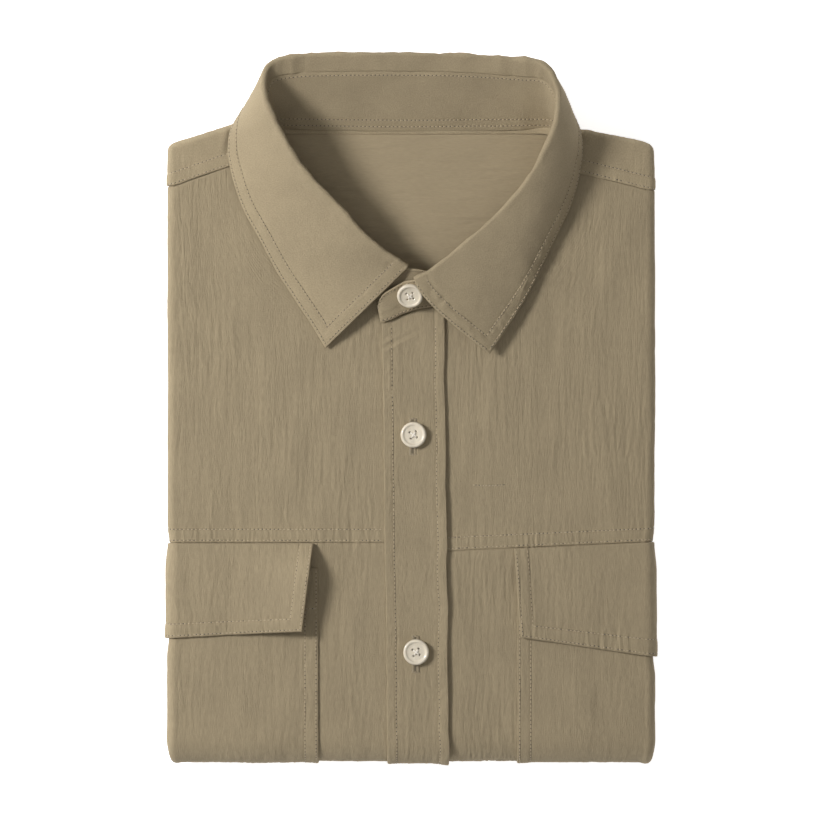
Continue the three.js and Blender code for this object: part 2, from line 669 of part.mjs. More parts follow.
// The table's rows with smooth ones between them.
function refine(table, between) {
  const keys = ['seam', 'crest', 'edge'];
  const curves = keys.map((key) =>
    new THREE.CatmullRomCurve3(table.map((row) => vector(row[key])), false, 'centripetal'));
  const steps = (table.length - 1) * between;
  return range(0, 1, steps).map((t) => {
    const at = t * (table.length - 1);
    const i = Math.min(table.length - 2, Math.floor(at));
    const [seam, crest, edge] = curves.map((curve) => curve.getPoint(t));
    const strip = lerp(table[i].strip, table[i + 1].strip, at - i);
    const bulge = lerp(table[i].bulge, table[i + 1].bulge, at - i);
    return { seam, crest, edge, strip, bulge };
  });
}

// One section: up the stand, over the roll and down the fall. The roll is an arc square to the
// line of the crest, so that the fall lies clear outside the stand.
function rollSection({ seam, crest, edge, strip, bulge }, line) {
  const chord = edge.clone().sub(crest);
  let up = crest.clone().sub(seam).normalize();
  const side = chord.clone().cross(up).normalize();
  const middle = crest.clone().lerp(edge, 0.5).addScaledVector(side.cross(chord).normalize(), bulge);
  const down = middle.clone().sub(crest).normalize();
  let arc = [];
  for (let pass = 0; pass < 3; pass += 1) {
    const bend = up.clone().sub(down);
    bend.addScaledVector(line, -bend.dot(line)).normalize();
    const out = line.clone().cross(bend);
    const centre = crest.clone().addScaledVector(bend, -ROLL_RADIUS);
    const from = Math.atan2(-up.dot(bend), up.dot(out));
    const to = Math.atan2(-down.dot(bend), down.dot(out));
    arc = range(from, to, ROLL_STEPS).map((angle) => centre.clone()
      .addScaledVector(bend, ROLL_RADIUS * Math.cos(angle))
      .addScaledVector(out, ROLL_RADIUS * Math.sin(angle)));
    up = arc[0].clone().sub(seam).normalize();
  }
  const last = arc.at(-1);
  const reach = edge.distanceTo(last) / 2;
  const fall = new THREE.QuadraticBezierCurve3(last, last.clone().addScaledVector(down, reach), edge);
  const join = arc[0].clone().addScaledVector(up, -strip);
  return {
    join,
    collar: [join.clone(), ...arc, ...range(0, 1, FALL_STEPS).slice(1).map((t) => fall.getPoint(t))],
    up,
  };
}

const COLLAR_ROWS = refine(COLLAR, SECTIONS_BETWEEN);

function crestLine(i) {
  const before = COLLAR_ROWS[Math.max(0, i - 1)].crest;
  const after = COLLAR_ROWS[Math.min(COLLAR_ROWS.length - 1, i + 1)].crest;
  return after.clone().sub(before).normalize();
}

const SECTIONS = COLLAR_ROWS.map((row, i) => ({ ...row, ...rollSection(row, crestLine(i)) }));

function collar() {
  const outer = SECTIONS.map((section) => section.collar);
  return slab(outer, offsetGrid(outer, COLLAR_WALL, 1));
}

// The stand's free ends past the leaves: the button end lies on top, the other end under it.
const BUTTON_END = [
  { seam: [-15.4, 43.6, 26.1], top: [-16.0, 49.8, 28.6] },
  { seam: [-13.6, 42.2, 26.1], top: [-13.8, 55.8, 31.2] },
  { seam: [-9.5, 43.8, 26.1], top: [-9.6, 58.9, 32.2] },
  { seam: [-4.4, 46.4, 26.1], top: [-3.8, 62.1, 33] },
];
const UNDER_END = [
  { seam: [2, 52.2, 24.6], top: [2.8, 68.6, 31.4] },
  { seam: [8, 52.4, 24.6], top: [8.6, 67.4, 30.6] },
];

function standRows() {
  const ring = SECTIONS.map(({ seam, join, up }) => ({
    seam,
    top: join.clone().addScaledVector(up, -GAP),
  }));
  const ends = (list) => list.map(({ seam, top }) => ({ seam: vector(seam), top: vector(top) }));
  return [...ends(BUTTON_END), ...ring, ...ends(UNDER_END)];
}

function collarStand() {
  const inner = standRows().map(({ seam, top }) =>
    range(0, 1, STAND_STEPS).map((t) => seam.clone().lerp(top, t)));
  return slab(offsetGrid(inner, COLLAR_WALL, 1), inner);
}

// A four-hole button with a raised rim, its back face at z = 0.
function buttonSolid() {
  const { radius, height, rim, rimSlope, edge, back, dish, hole, spacing, turn } = BUTTON;
  const profile = [
    [0, 0],
    [radius - back, 0],
    [radius, back],
    [radius, height - edge],
    [radius - edge, height],
    [radius - rim, height],
    [radius - rim - rimSlope, height - dish],
    [0, height - dish],
  ].map(([x, y]) => new THREE.Vector2(x, y));
  const body = new THREE.LatheGeometry(profile, BUTTON_SEGMENTS).rotateX(Math.PI / 2);
  let solid = toSolid(body);
  for (const [sx, sy] of [[1, 1], [1, -1], [-1, 1], [-1, -1]]) {
    const drill = new THREE.CylinderGeometry(hole, hole, 3 * height, 8).rotateX(Math.PI / 2);
    drill.translate(sx * spacing, sy * spacing, 0);
    solid = solid.subtract(toSolid(drill));
  }
  return fromSolid(solid).rotateZ(radians(turn));
}

// The collar button's place on the stand: share of the way to the collar's front edge, and up
const COLLAR_BUTTON = { along: 0.62, up: 0.55 };

function standAtButton() {
  const last = BUTTON_END.at(-1);
  const seam = vector(last.seam).lerp(SECTIONS[0].seam, COLLAR_BUTTON.along);
  const top = vector(last.top).lerp(SECTIONS[0].join, COLLAR_BUTTON.along);
  const normal = top.clone().sub(seam).cross(new THREE.Vector3(-1, 0, 0)).normalize();
  const centre = seam.clone().lerp(top, COLLAR_BUTTON.up).addScaledVector(normal, COLLAR_WALL + GAP);
  return { centre, normal };
}

function placeButton(mesh, centre, normal) {
  mesh.position.copy(centre);
  mesh.quaternion.setFromUnitVectors(new THREE.Vector3(0, 0, 1), normal);
}

// Colours and finishes
const CLOTH = { color: 0x9a8b71, roughness: 0.95, metalness: 0 };
const SMOOTH_CLOTH = { color: 0xa59679, roughness: 0.9, metalness: 0 };
const LINING_CLOTH = { color: 0x92826a, roughness: 0.95, metalness: 0 };
const BUTTON_FINISH = { color: 0xd9cdba, roughness: 0.45, metalness: 0 };

const group = new THREE.Group();

function add(name, geometry, finish) {
  const mesh = new THREE.Mesh(geometry, new THREE.MeshStandardMaterial(finish));
  mesh.name = name;
  group.add(mesh);
  return mesh;
}

add('folded_layers', foldedLayers(), CLOTH);
for (const side of ['right', 'left']) {
  add(`front_upper_${side}`, frontUpper(side), CLOTH);
  add(`front_lower_${side}`, frontLower(side), CLOTH);
  add(`pocket_${side}`, pocket(side), CLOTH);
  add(`flap_${side}`, flap(side), CLOTH);
}
add('placket', placket(), CLOTH);
add('yoke', yoke(), SMOOTH_CLOTH);
add('yoke_lining', yokeLining(), LINING_CLOTH);
add('collar_stand', collarStand(), SMOOTH_CLOTH);
add('collar', collar(), SMOOTH_CLOTH);

const { centre: standCentre, normal: standNormal } = standAtButton();
placeButton(add('button_collar', buttonSolid(), BUTTON_FINISH), standCentre, standNormal);
[BUTTON_1, BUTTON_2].forEach(({ x, y }, i) => {
  const centre = surface(x, y, GAP + PLACKET_WALL + GAP);
  placeButton(add(`button_${i + 1}`, buttonSolid(), BUTTON_FINISH), centre, new THREE.Vector3(0, 0, 1));
});

export default group;
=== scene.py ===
"""A folded button-front overshirt: cloth, stitching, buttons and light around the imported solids."""

import math

import bmesh
import bpy
import numpy as np
from mathutils import Matrix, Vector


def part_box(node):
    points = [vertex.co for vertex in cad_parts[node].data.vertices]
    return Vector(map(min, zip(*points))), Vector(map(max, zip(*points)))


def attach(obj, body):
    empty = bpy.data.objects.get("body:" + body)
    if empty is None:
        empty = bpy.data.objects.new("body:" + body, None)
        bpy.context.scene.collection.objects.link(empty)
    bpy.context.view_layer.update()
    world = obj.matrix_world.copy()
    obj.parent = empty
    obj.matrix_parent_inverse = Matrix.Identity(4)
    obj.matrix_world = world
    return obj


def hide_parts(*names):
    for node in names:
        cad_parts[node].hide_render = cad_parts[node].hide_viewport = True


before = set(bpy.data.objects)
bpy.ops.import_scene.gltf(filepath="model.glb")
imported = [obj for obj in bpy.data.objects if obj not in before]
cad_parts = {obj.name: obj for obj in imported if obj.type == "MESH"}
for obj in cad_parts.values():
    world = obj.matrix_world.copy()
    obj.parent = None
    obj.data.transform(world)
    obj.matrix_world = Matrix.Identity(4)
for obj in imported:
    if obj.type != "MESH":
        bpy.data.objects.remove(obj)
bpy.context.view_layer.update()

# Sizes in millimetres, the same as the solids'. x to the wearer's left, y to the collar, z up.
MM = 0.001
HALF_WIDTH = 119.3
POCKET_RELIEF, RELIEF_FROM = 1.3, -56
STACK = 24.0
SHOULDER_DROP = 2.0
DROP_START, DROP_END = 60.0, 138.0
CROWN, CROWN_REACH = 1.0, 70
MID = STACK / 2
FOLD_Y = -161.5
FOLD_ARC = math.pi * MID
SIDE_RADIUS = 3.5
LAYER = MID - 2 * SIDE_RADIUS
CORNER_SHRINK, UNDER_SHRINK = 0.8, 1.6
HEM_Y = 126.0
HEM_S = 2 * FOLD_Y - FOLD_ARC - HEM_Y
GAP = 0.3

# The placket and the pockets end part of the way round the bottom fold
BOTTOM_END = FOLD_Y - MID * math.radians(147)
# Degrees that a pocket and a flap run round the side fold
POCKET_WRAP, FLAP_WRAP = 148, 140

# Thickness of the visible cloth
BODY_CLOTH = 0.9
PATCH_CLOTH = 0.8
FLAP_CLOTH = 1.2
PLACKET_CLOTH = 1.0
COLLAR_CLOTH = 1.15
LINING_CLOTH = 0.8
TUCK = 4.0

SIDES = {
    "right": dict(sign=-1, chest=(-14, -65.7, 0.0), yoke_seam=(-87.7, 119.3, 0.345), pocket_edge=-45.4,
                  swell=0.9, swell_from=-112.0, stitches_from=14, seed=dict(body=0, pocket=20, flap=26),
                  flap=dict(top=-47.8, bottom=-53.2, bottom_y=-109.0, slope=0.055)),
    "left": dict(sign=1, chest=(17, -69.8, 0.045), yoke_seam=(83.8, 115.4, -0.246), pocket_edge=52.2,
                 swell=1.2, swell_from=-122.0, stitches_from=17.6, seed=dict(body=40, pocket=24, flap=28),
                 flap=dict(top=50.5, bottom=53.7, bottom_y=-112.2, slope=-0.146)),
}
POCKET_MOUTH = -78.0
MOUTH_HEM = 20.0
STITCH_NEAR, STITCH_FAR = 1.1, 6.5

rng = np.random.default_rng(20)
LATTICE = rng.uniform(-1, 1, (256, 256))


def noise(x, y, seed=0):
    """Smooth value noise from -1 to 1."""
    x = np.asarray(x, float) + 17.37 * seed
    y = np.asarray(y, float) + 5.91 * seed
    i, j = np.floor(x).astype(int), np.floor(y).astype(int)
    fx, fy = x - i, y - j
    fx, fy = fx * fx * (3 - 2 * fx), fy * fy * (3 - 2 * fy)
    a, b = LATTICE[i & 255, j & 255], LATTICE[(i + 1) & 255, j & 255]
    c, d = LATTICE[i & 255, (j + 1) & 255], LATTICE[(i + 1) & 255, (j + 1) & 255]
    return (a * (1 - fx) + b * fx) * (1 - fy) + (c * (1 - fx) + d * fx) * fy


def smooth(t):
    c = np.clip(t, 0, 1)
    return c * c * (3 - 2 * c)


def lerp(a, b, t):
    return a + (b - a) * t


def bump(x, width):
    return np.exp(-((x / width) ** 2))


def unit(v):
    return v / np.maximum(np.linalg.norm(v, axis=-1, keepdims=True), 1e-9)


def line_at(line, x):
    """Height at x of a line given as (x, height there, slope)."""
    return line[1] + line[2] * (x - line[0])


# The body's surface: h is the height in the packet of layers, and s runs down and round the bottom fold


def fold_angle(s):
    return np.clip((FOLD_Y - s) / MID, 0, math.pi)


def body_top(x, y):
    height = STACK - SHOULDER_DROP * smooth((y - DROP_START) / (DROP_END - DROP_START))
    return height - CROWN * smooth((y - FOLD_Y) / CROWN_REACH) * (x / HALF_WIDTH) ** 2


def half_width(s):
    angle = fold_angle(s)
    relief = POCKET_RELIEF * smooth((RELIEF_FROM - s) / 10)
    return HALF_WIDTH - relief - CORNER_SHRINK * np.sin(angle) ** 2 - UNDER_SHRINK * smooth(angle / math.pi)


def place(x, h, s):
    angle = fold_angle(s)
    top = body_top(x, s)
    inner = MID + h * (top - 2 * SIDE_RADIUS - MID) / LAYER
    z_top = np.where(h >= LAYER, top - (MID - h), inner)
    on_top, under = angle <= 0, angle >= math.pi
    y = np.where(on_top, s, np.where(under, 2 * FOLD_Y - FOLD_ARC - s, FOLD_Y - h * np.sin(angle)))
    z = np.where(on_top, z_top, np.where(under, MID - h, MID + h * np.cos(angle)))
    return np.stack(np.broadcast_arrays(x, y, z), axis=-1)


def surface(u, s, off):
    """A point u along the cloth from the centre line and s along the body, moved out by off."""
    u, s, off = np.broadcast_arrays(np.asarray(u, float), np.asarray(s, float), np.asarray(off, float))
    side = np.where(u < 0, -1.0, 1.0)
    flat = half_width(s) - SIDE_RADIUS
    past = np.abs(u) - flat
    turn = math.pi * SIDE_RADIUS
    angle = np.clip(past / SIDE_RADIUS, 0, math.pi)
    reach = SIDE_RADIUS + off
    beyond = np.maximum(0, past - turn)
    x = np.where(past <= 0, u, side * (flat + reach * np.sin(angle) - beyond))
    h = np.where(past <= 0, MID + off, MID - SIDE_RADIUS + reach * np.cos(angle))
    return place(x, h, s)


def surface_normal(u, s):
    return unit(surface(u, s, 1.0) - surface(u, s, 0.0))


# Cloth relief: crinkles that run down the cloth, broad waves and the main creases.
# A main crease has its centre u and s, length, direction in degrees from across, width and height
CREASES = [
    dict(u=-48, s=-28, length=60, turn=84, width=5.5, height=-0.55),
    dict(u=-33, s=-38, length=46, turn=94, width=4.0, height=0.45),
    dict(u=-70, s=20, length=80, turn=97, width=7.0, height=0.5),
    dict(u=-96, s=60, length=70, turn=82, width=8.0, height=-0.5),
    dict(u=-62, s=-8, length=38, turn=76, width=3.5, height=-0.35),
    dict(u=46, s=0, length=70, turn=92, width=8.0, height=0.45),
    dict(u=72, s=44, length=64, turn=80, width=7.0, height=-0.55),
    dict(u=98, s=-12, length=90, turn=95, width=9.0, height=0.5),
    dict(u=30, s=-44, length=36, turn=99, width=4.0, height=-0.4),
    dict(u=100, s=74, length=52, turn=70, width=5.0, height=0.5),
    dict(u=-100, s=-30, length=58, turn=92, width=6.5, height=0.4),
    dict(u=-26, s=-104, length=60, turn=87, width=5.0, height=0.35),
    dict(u=-80, s=-140, length=44, turn=70, width=6.0, height=0.4),
    dict(u=34, s=-112, length=66, turn=96, width=5.5, height=-0.4),
    dict(u=84, s=-138, length=50, turn=104, width=6.0, height=0.45),
    dict(u=-60, s=-250, length=110, turn=88, width=9.0, height=-0.35),
    dict(u=64, s=-300, length=120, turn=93, width=10.0, height=-0.35),
]


def creases(u, s):
    total = np.zeros(np.broadcast(u, s).shape)
    for c in CREASES:
        a = math.radians(c["turn"])
        along = (u - c["u"]) * math.cos(a) + (s - c["s"]) * math.sin(a)
        across = -(u - c["u"]) * math.sin(a) + (s - c["s"]) * math.cos(a)
        across = across + 1.6 * noise(along / 14, across / 40, 3)
        taper = smooth(1.25 - np.abs(along) / (c["length"] / 2))
        total += c["height"] * bump(across, c["width"]) * taper
    return total


def crinkle(u, s, seed=0):
    wander = 1.0 * noise(u / 7, s / 11, seed + 1) + 0.4 * noise(u / 2.2, s / 4, seed + 7)
    across = u + wander
    lines = bump(noise(across / 1.25, s / 12, seed + 2), 0.26)
    short = bump(noise(across / 0.85, s / 5.5, seed + 8), 0.24)
    ridge = noise(across / 1.0, s / 9, seed + 3)
    patchy = 0.72 + 0.55 * noise(u / 18, s / 22, seed + 4)
    return patchy * (0.13 * ridge - 0.15 * lines - 0.09 * short + 0.07)


def waves(u, s, seed=0):
    return 0.16 * noise(u / 5.2, s / 30, seed + 5) + 0.32 * noise(u / 24, s / 52, seed + 6)


def body_relief(u, s, seed=0):
    """Height of the cloth above the smooth surface; it settles flat on the underside."""
    under = smooth((fold_angle(s) - 1.9) / 0.9)
    relief = crinkle(u, s, seed) + waves(u, s, seed) + creases(u, s)
    return (1 - under) * relief - under * 0.15


# Mesh building


def spaced(start, end, step):
    """Values from start to end about step apart, with two close ones at each end for a rounded rim."""
    length = abs(end - start)
    sign = 1 if end >= start else -1
    count = max(2, int(round(length / step)))
    body = np.linspace(0, length, count + 1)
    return start + sign * np.unique(np.concatenate([body, [0.12, 0.4, length - 0.4, length - 0.12]]))


def dense(start, end, step, fine=0.65, near=9.0):
    """Values from start to end, fine ones near the start and step apart after that."""
    change = start + near * np.sign(end - start)
    rest = spaced(change, end, step)
    return np.concatenate([spaced(start, change, fine)[:-3], rest[:1], rest[3:]])


def lengths_along(points):
    return np.concatenate([[0], np.cumsum(np.linalg.norm(np.diff(points, axis=0), axis=1))])


def sample(values, lengths, at):
    """Values of a polyline's points at distances along it."""
    return np.stack([np.interp(at, lengths, column) for column in values.T], axis=1)


def point_at(at, places, values):
    """The point, or the normal, at one place along a line of them."""
    return [np.interp(at, places, values[:, k]) for k in range(3)]


def add_object(name, data):
    obj = bpy.data.objects.new(name, data)
    bpy.context.scene.collection.objects.link(obj)
    return obj


def border_distance(points):
    """Distances across a grid from its first and last column, and along it from its first and last row."""
    across = np.linalg.norm(np.diff(points, axis=1), axis=-1)
    along = np.linalg.norm(np.diff(points, axis=0), axis=-1)
    left = np.concatenate([np.zeros((len(points), 1)), np.cumsum(across, axis=1)], axis=1)
    top = np.concatenate([np.zeros((1, points.shape[1])), np.cumsum(along, axis=0)], axis=0)
    return left, left[:, -1:] - left, top, top[-1:, :] - top


def mesh_object(name, vertices, faces, uv=None):
    mesh = bpy.data.meshes.new(name)
    faces = np.asarray(faces)
    size = faces.shape[1]
    mesh.vertices.add(len(vertices))
    mesh.vertices.foreach_set("co", (np.asarray(vertices) * MM).astype(np.float32).ravel())
    mesh.loops.add(faces.size)
    mesh.loops.foreach_set("vertex_index", faces.astype(np.int32).ravel())
    mesh.polygons.add(len(faces))
    mesh.polygons.foreach_set("loop_start", np.arange(0, faces.size, size, dtype=np.int32))
    mesh.polygons.foreach_set("use_smooth", np.ones(len(faces), dtype=bool))
    if uv is not None:
        layer = mesh.uv_layers.new(name="UVMap")
        layer.data.foreach_set("uv", np.asarray(uv)[faces.ravel()].astype(np.float32).ravel())
    mesh.update(calc_edges=True)
    mesh.validate()
    return add_object(name, mesh)


def grid_faces(rows, cols):
    i, j = np.meshgrid(np.arange(rows - 1), np.arange(cols - 1), indexing="ij")
    a = (i * cols + j).ravel()
    return np.stack([a, a + 1, a + 1 + cols, a + cols], axis=1)


def shell(name, middle, normal, thick, uv, material):
    """Closed sheet of cloth about a grid of points, its rim rounded."""
    rows, cols = middle.shape[:2]
    rim = np.min(np.stack(border_distance(middle)), axis=0)
    fat = np.sqrt(1 - (1 - np.clip(rim / (thick / 2), 0, 1)) ** 2)[..., None] * thick / 2
    upper = (middle + normal * fat).reshape(-1, 3)
    lower = (middle - normal * fat).reshape(-1, 3)
    index = np.arange(rows * cols).reshape(rows, cols)
    inside = np.zeros((rows, cols), bool)
    inside[1:-1, 1:-1] = True
    lower_index = index.copy()
    lower_index[inside] = rows * cols + np.arange(inside.sum())
    faces = grid_faces(rows, cols)
    below = lower_index.ravel()[faces][:, ::-1]
    # The upper faces point along the normal
    a, b, c = upper[faces[:, 0]], upper[faces[:, 1]], upper[faces[:, 3]]
    middle_faces = len(faces) // 2
    facing = np.sum(np.cross(b - a, c - a) * normal.reshape(-1, 3)[faces[:, 0]], axis=1)
    if np.median(facing[middle_faces - 50: middle_faces + 50]) < 0:
        faces, below = faces[:, ::-1], below[:, ::-1]
    vertices = np.concatenate([upper, lower.reshape(rows, cols, 3)[inside]])
    flat_uv = uv.reshape(-1, 2) * 0.01
    uvs = np.concatenate([flat_uv, uv[inside] * 0.01])
    obj = mesh_object(name, vertices, np.concatenate([faces, below]), uvs)
    obj.data.materials.append(material)
    return obj


# Materials


class Nodes:
    """Short helper to make and link shader nodes."""

    def __init__(self, name):
        self.material = bpy.data.materials.new(name)
        self.material.use_nodes = True
        self.tree = self.material.node_tree
        self.shader = next(n for n in self.tree.nodes if n.type == "BSDF_PRINCIPLED")

    def add(self, kind, **settings):
        node = self.tree.nodes.new(kind)
        for key, value in settings.items():
            setattr(node, key, value)
        return node

    def set(self, node, values):
        for socket, value in values.items():
            node.inputs[socket].default_value = value

    def link(self, start, end):
        self.tree.links.new(start, end)

    def math(self, operation, a, b):
        node = self.add("ShaderNodeMath", operation=operation)
        for socket, value in zip(node.inputs, (a, b)):
            if isinstance(value, (int, float)):
                socket.default_value = value
            else:
                self.link(value, socket)
        return node.outputs[0]

    def scaled(self, coordinates, scale):
        node = self.add("ShaderNodeMapping")
        self.set(node, {"Scale": scale})
        self.link(coordinates, node.inputs["Vector"])
        return node.outputs[0]

    def noise(self, coordinates, scale, detail):
        node = self.add("ShaderNodeTexNoise")
        self.set(node, {"Scale": 1.0, "Detail": detail})
        self.link(self.scaled(coordinates, scale), node.inputs["Vector"])
        return node.outputs["Fac"]

    def ramp(self, value, low, high, from_value=0.3, to_value=0.7):
        node = self.add("ShaderNodeValToRGB")
        for stop, place_on, colour in zip(node.color_ramp.elements, (from_value, to_value), (low, high)):
            stop.position = place_on
            stop.color = (*colour, 1)
        self.link(value, node.inputs["Fac"])
        return node.outputs["Color"]


def srgb(r, g, b):
    """A colour given from 0 to 255, as the linear values that a shader takes."""
    shares = (r / 255, g / 255, b / 255)
    return tuple(c / 12.92 if c <= 0.04045 else ((c + 0.055) / 1.055) ** 2.4 for c in shares)


def shade(colour, factor):
    return tuple(c * factor for c in colour)


# Scale of the wave texture for about one band in each unit of length, and depth of the weave in metres
WAVE_SCALE = 2 / 6.2832
WEAVE_DEPTH = 0.00025


def cloth_material(name, colour, slub, contrast, bump_strength, weave=0.34):
    """Woven cloth. slub is the streaks' scale across and along, and weave the threads' spacing in mm."""
    n = Nodes(name)
    coordinates = n.add("ShaderNodeTexCoord").outputs["UV"]
    streaks = n.noise(coordinates, (slub[0], slub[1], 1), 4.0)
    clouds = n.noise(coordinates, (5.0, 4.0, 1), 3.0)
    tone = n.math("ADD", n.math("MULTIPLY", streaks, 0.65), n.math("MULTIPLY", clouds, 0.35))
    low, high = shade(colour, 1 - contrast), shade(colour, 1 + contrast)
    n.link(n.ramp(tone, low, high, 0.34, 0.66), n.shader.inputs["Base Color"])
    threads = []
    for direction in ("X", "Y"):
        wave = n.add("ShaderNodeTexWave", wave_type="BANDS", bands_direction=direction)
        n.set(wave, {"Scale": 100 / weave * WAVE_SCALE, "Distortion": 1.2, "Detail Scale": 3.0})
        n.link(coordinates, wave.inputs["Vector"])
        threads.append(wave.outputs["Fac"])
    weave_height = n.math("MAXIMUM", threads[0], threads[1])
    fuzz = n.noise(coordinates, (520, 200, 1), 2.0)
    height = n.math("ADD", n.math("MULTIPLY", weave_height, 0.6), n.math("MULTIPLY", fuzz, 0.7))
    height = n.math("ADD", height, n.math("MULTIPLY", streaks, 1.2))
    relief = n.add("ShaderNodeBump")
    n.set(relief, {"Strength": bump_strength, "Distance": WEAVE_DEPTH})
    n.link(height, relief.inputs["Height"])
    n.link(relief.outputs["Normal"], n.shader.inputs["Normal"])
    roughness = n.math("ADD", n.math("MULTIPLY", clouds, 0.1), 0.82)
    n.link(roughness, n.shader.inputs["Roughness"])
    n.set(n.shader, {"Sheen Weight": 0.04, "Sheen Roughness": 0.5, "Specular IOR Level": 0.22})
    return n.material


KHAKI = srgb(158, 143, 116)
CLOTH = cloth_material("crinkled_cloth", shade(KHAKI, 1.13), (190, 30), 0.10, 0.9)
# The collar, yoke and stand cloth is this khaki set lighter than the body cloth, to make up for its bump's
# darkening and the dim light on the stand in the neck: painted light
SMOOTH = cloth_material("smooth_cloth", shade(KHAKI, 1.24), (170, 120), 0.13, 0.9, weave=0.3)
# The lining's khaki is set a little lighter to lighten the shade that falls on it in the neck: painted light
LINING = cloth_material("lining_cloth", shade(KHAKI, 1.06), (30, 150), 0.06, 0.6)
CLOTH_OF_SLOT = {"cloth": CLOTH, "smooth_cloth": SMOOTH, "lining_cloth": LINING}


def thread_material(name, colour):
    n = Nodes(name)
    coordinates = n.add("ShaderNodeTexCoord").outputs["Object"]
    twist = n.noise(coordinates, (2600, 2600, 2600), 2.0)
    n.link(n.ramp(twist, shade(colour, 0.85), shade(colour, 1.12)), n.shader.inputs["Base Color"])
    n.set(n.shader, {"Roughness": 0.6, "Sheen Weight": 0.2})
    return n.material


THREAD = thread_material("thread", shade(KHAKI, 1.4))
BAR_THREAD = thread_material("bar_thread", shade(KHAKI, 0.95))
# Painted shade: the needle holes and the buttonhole slits are drawn as dark marks in this colour
NEEDLE_HOLE_SHADE = thread_material("needle_hole_shade", shade(KHAKI, 0.26))
WHITE_THREAD = thread_material("button_thread", srgb(236, 228, 214))


def button_material():
    n = Nodes("button_shell")
    coordinates = n.add("ShaderNodeTexCoord").outputs["Object"]
    swirl = n.noise(coordinates, (260, 90, 200), 5.0)
    cream = srgb(222, 211, 190)
    n.link(n.ramp(swirl, shade(cream, 0.86), shade(cream, 1.06), 0.35, 0.65), n.shader.inputs["Base Color"])
    n.set(n.shader, {"Roughness": 0.36, "Coat Weight": 0.15})
    n.set(n.shader, {"Subsurface Weight": 0.08, "Subsurface Radius": (0.001, 0.0008, 0.0006)})
    return n.material


BUTTON = button_material()


def finish_piece(obj, slot, *nodes):
    """Sets what the piece rides on and hides the solids that it stands for; slot is not used."""
    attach(obj, "root")
    if nodes:
        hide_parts(*nodes)


def cloth_piece(node, slot, middle, normal, thick, across, along):
    """The sheet that shows in place of a solid. across and along are places on its cloth, in mm."""
    uv = np.stack([across, along], -1)
    obj = shell(f"{node}_cloth", middle, normal, thick, uv, CLOTH_OF_SLOT[slot])
    finish_piece(obj, slot, node)


def copies(name, shape, faces, basis, places, material, slot):
    """One mesh with a copy of a small shape at each place."""
    vertices = np.einsum("vk,nkd->nvd", shape, basis) + places[:, None]
    index = faces[None] + (np.arange(len(places)) * len(shape))[:, None, None]
    obj = mesh_object(name, vertices.reshape(-1, 3), index.reshape(-1, 3))
    obj.data.materials.append(material)
    finish_piece(obj, slot)


# Stitches: small capsules of thread lying in rows, and between them dark marks that paint the shade in the
# needle holes


# The painted shade of a needle hole: a dark octahedron and its faces
HOLE_SIZE = (0.42, 0.36, 0.16)
HOLE_CORNERS = np.array([(1, 0, 0), (-1, 0, 0), (0, 1, 0), (0, -1, 0), (0, 0, 1), (0, 0, -1)]) * HOLE_SIZE
HOLE_FACES = np.array([(0, 2, 4), (2, 1, 4), (1, 3, 4), (3, 0, 4),
                       (2, 0, 5), (1, 2, 5), (3, 1, 5), (0, 3, 5)])


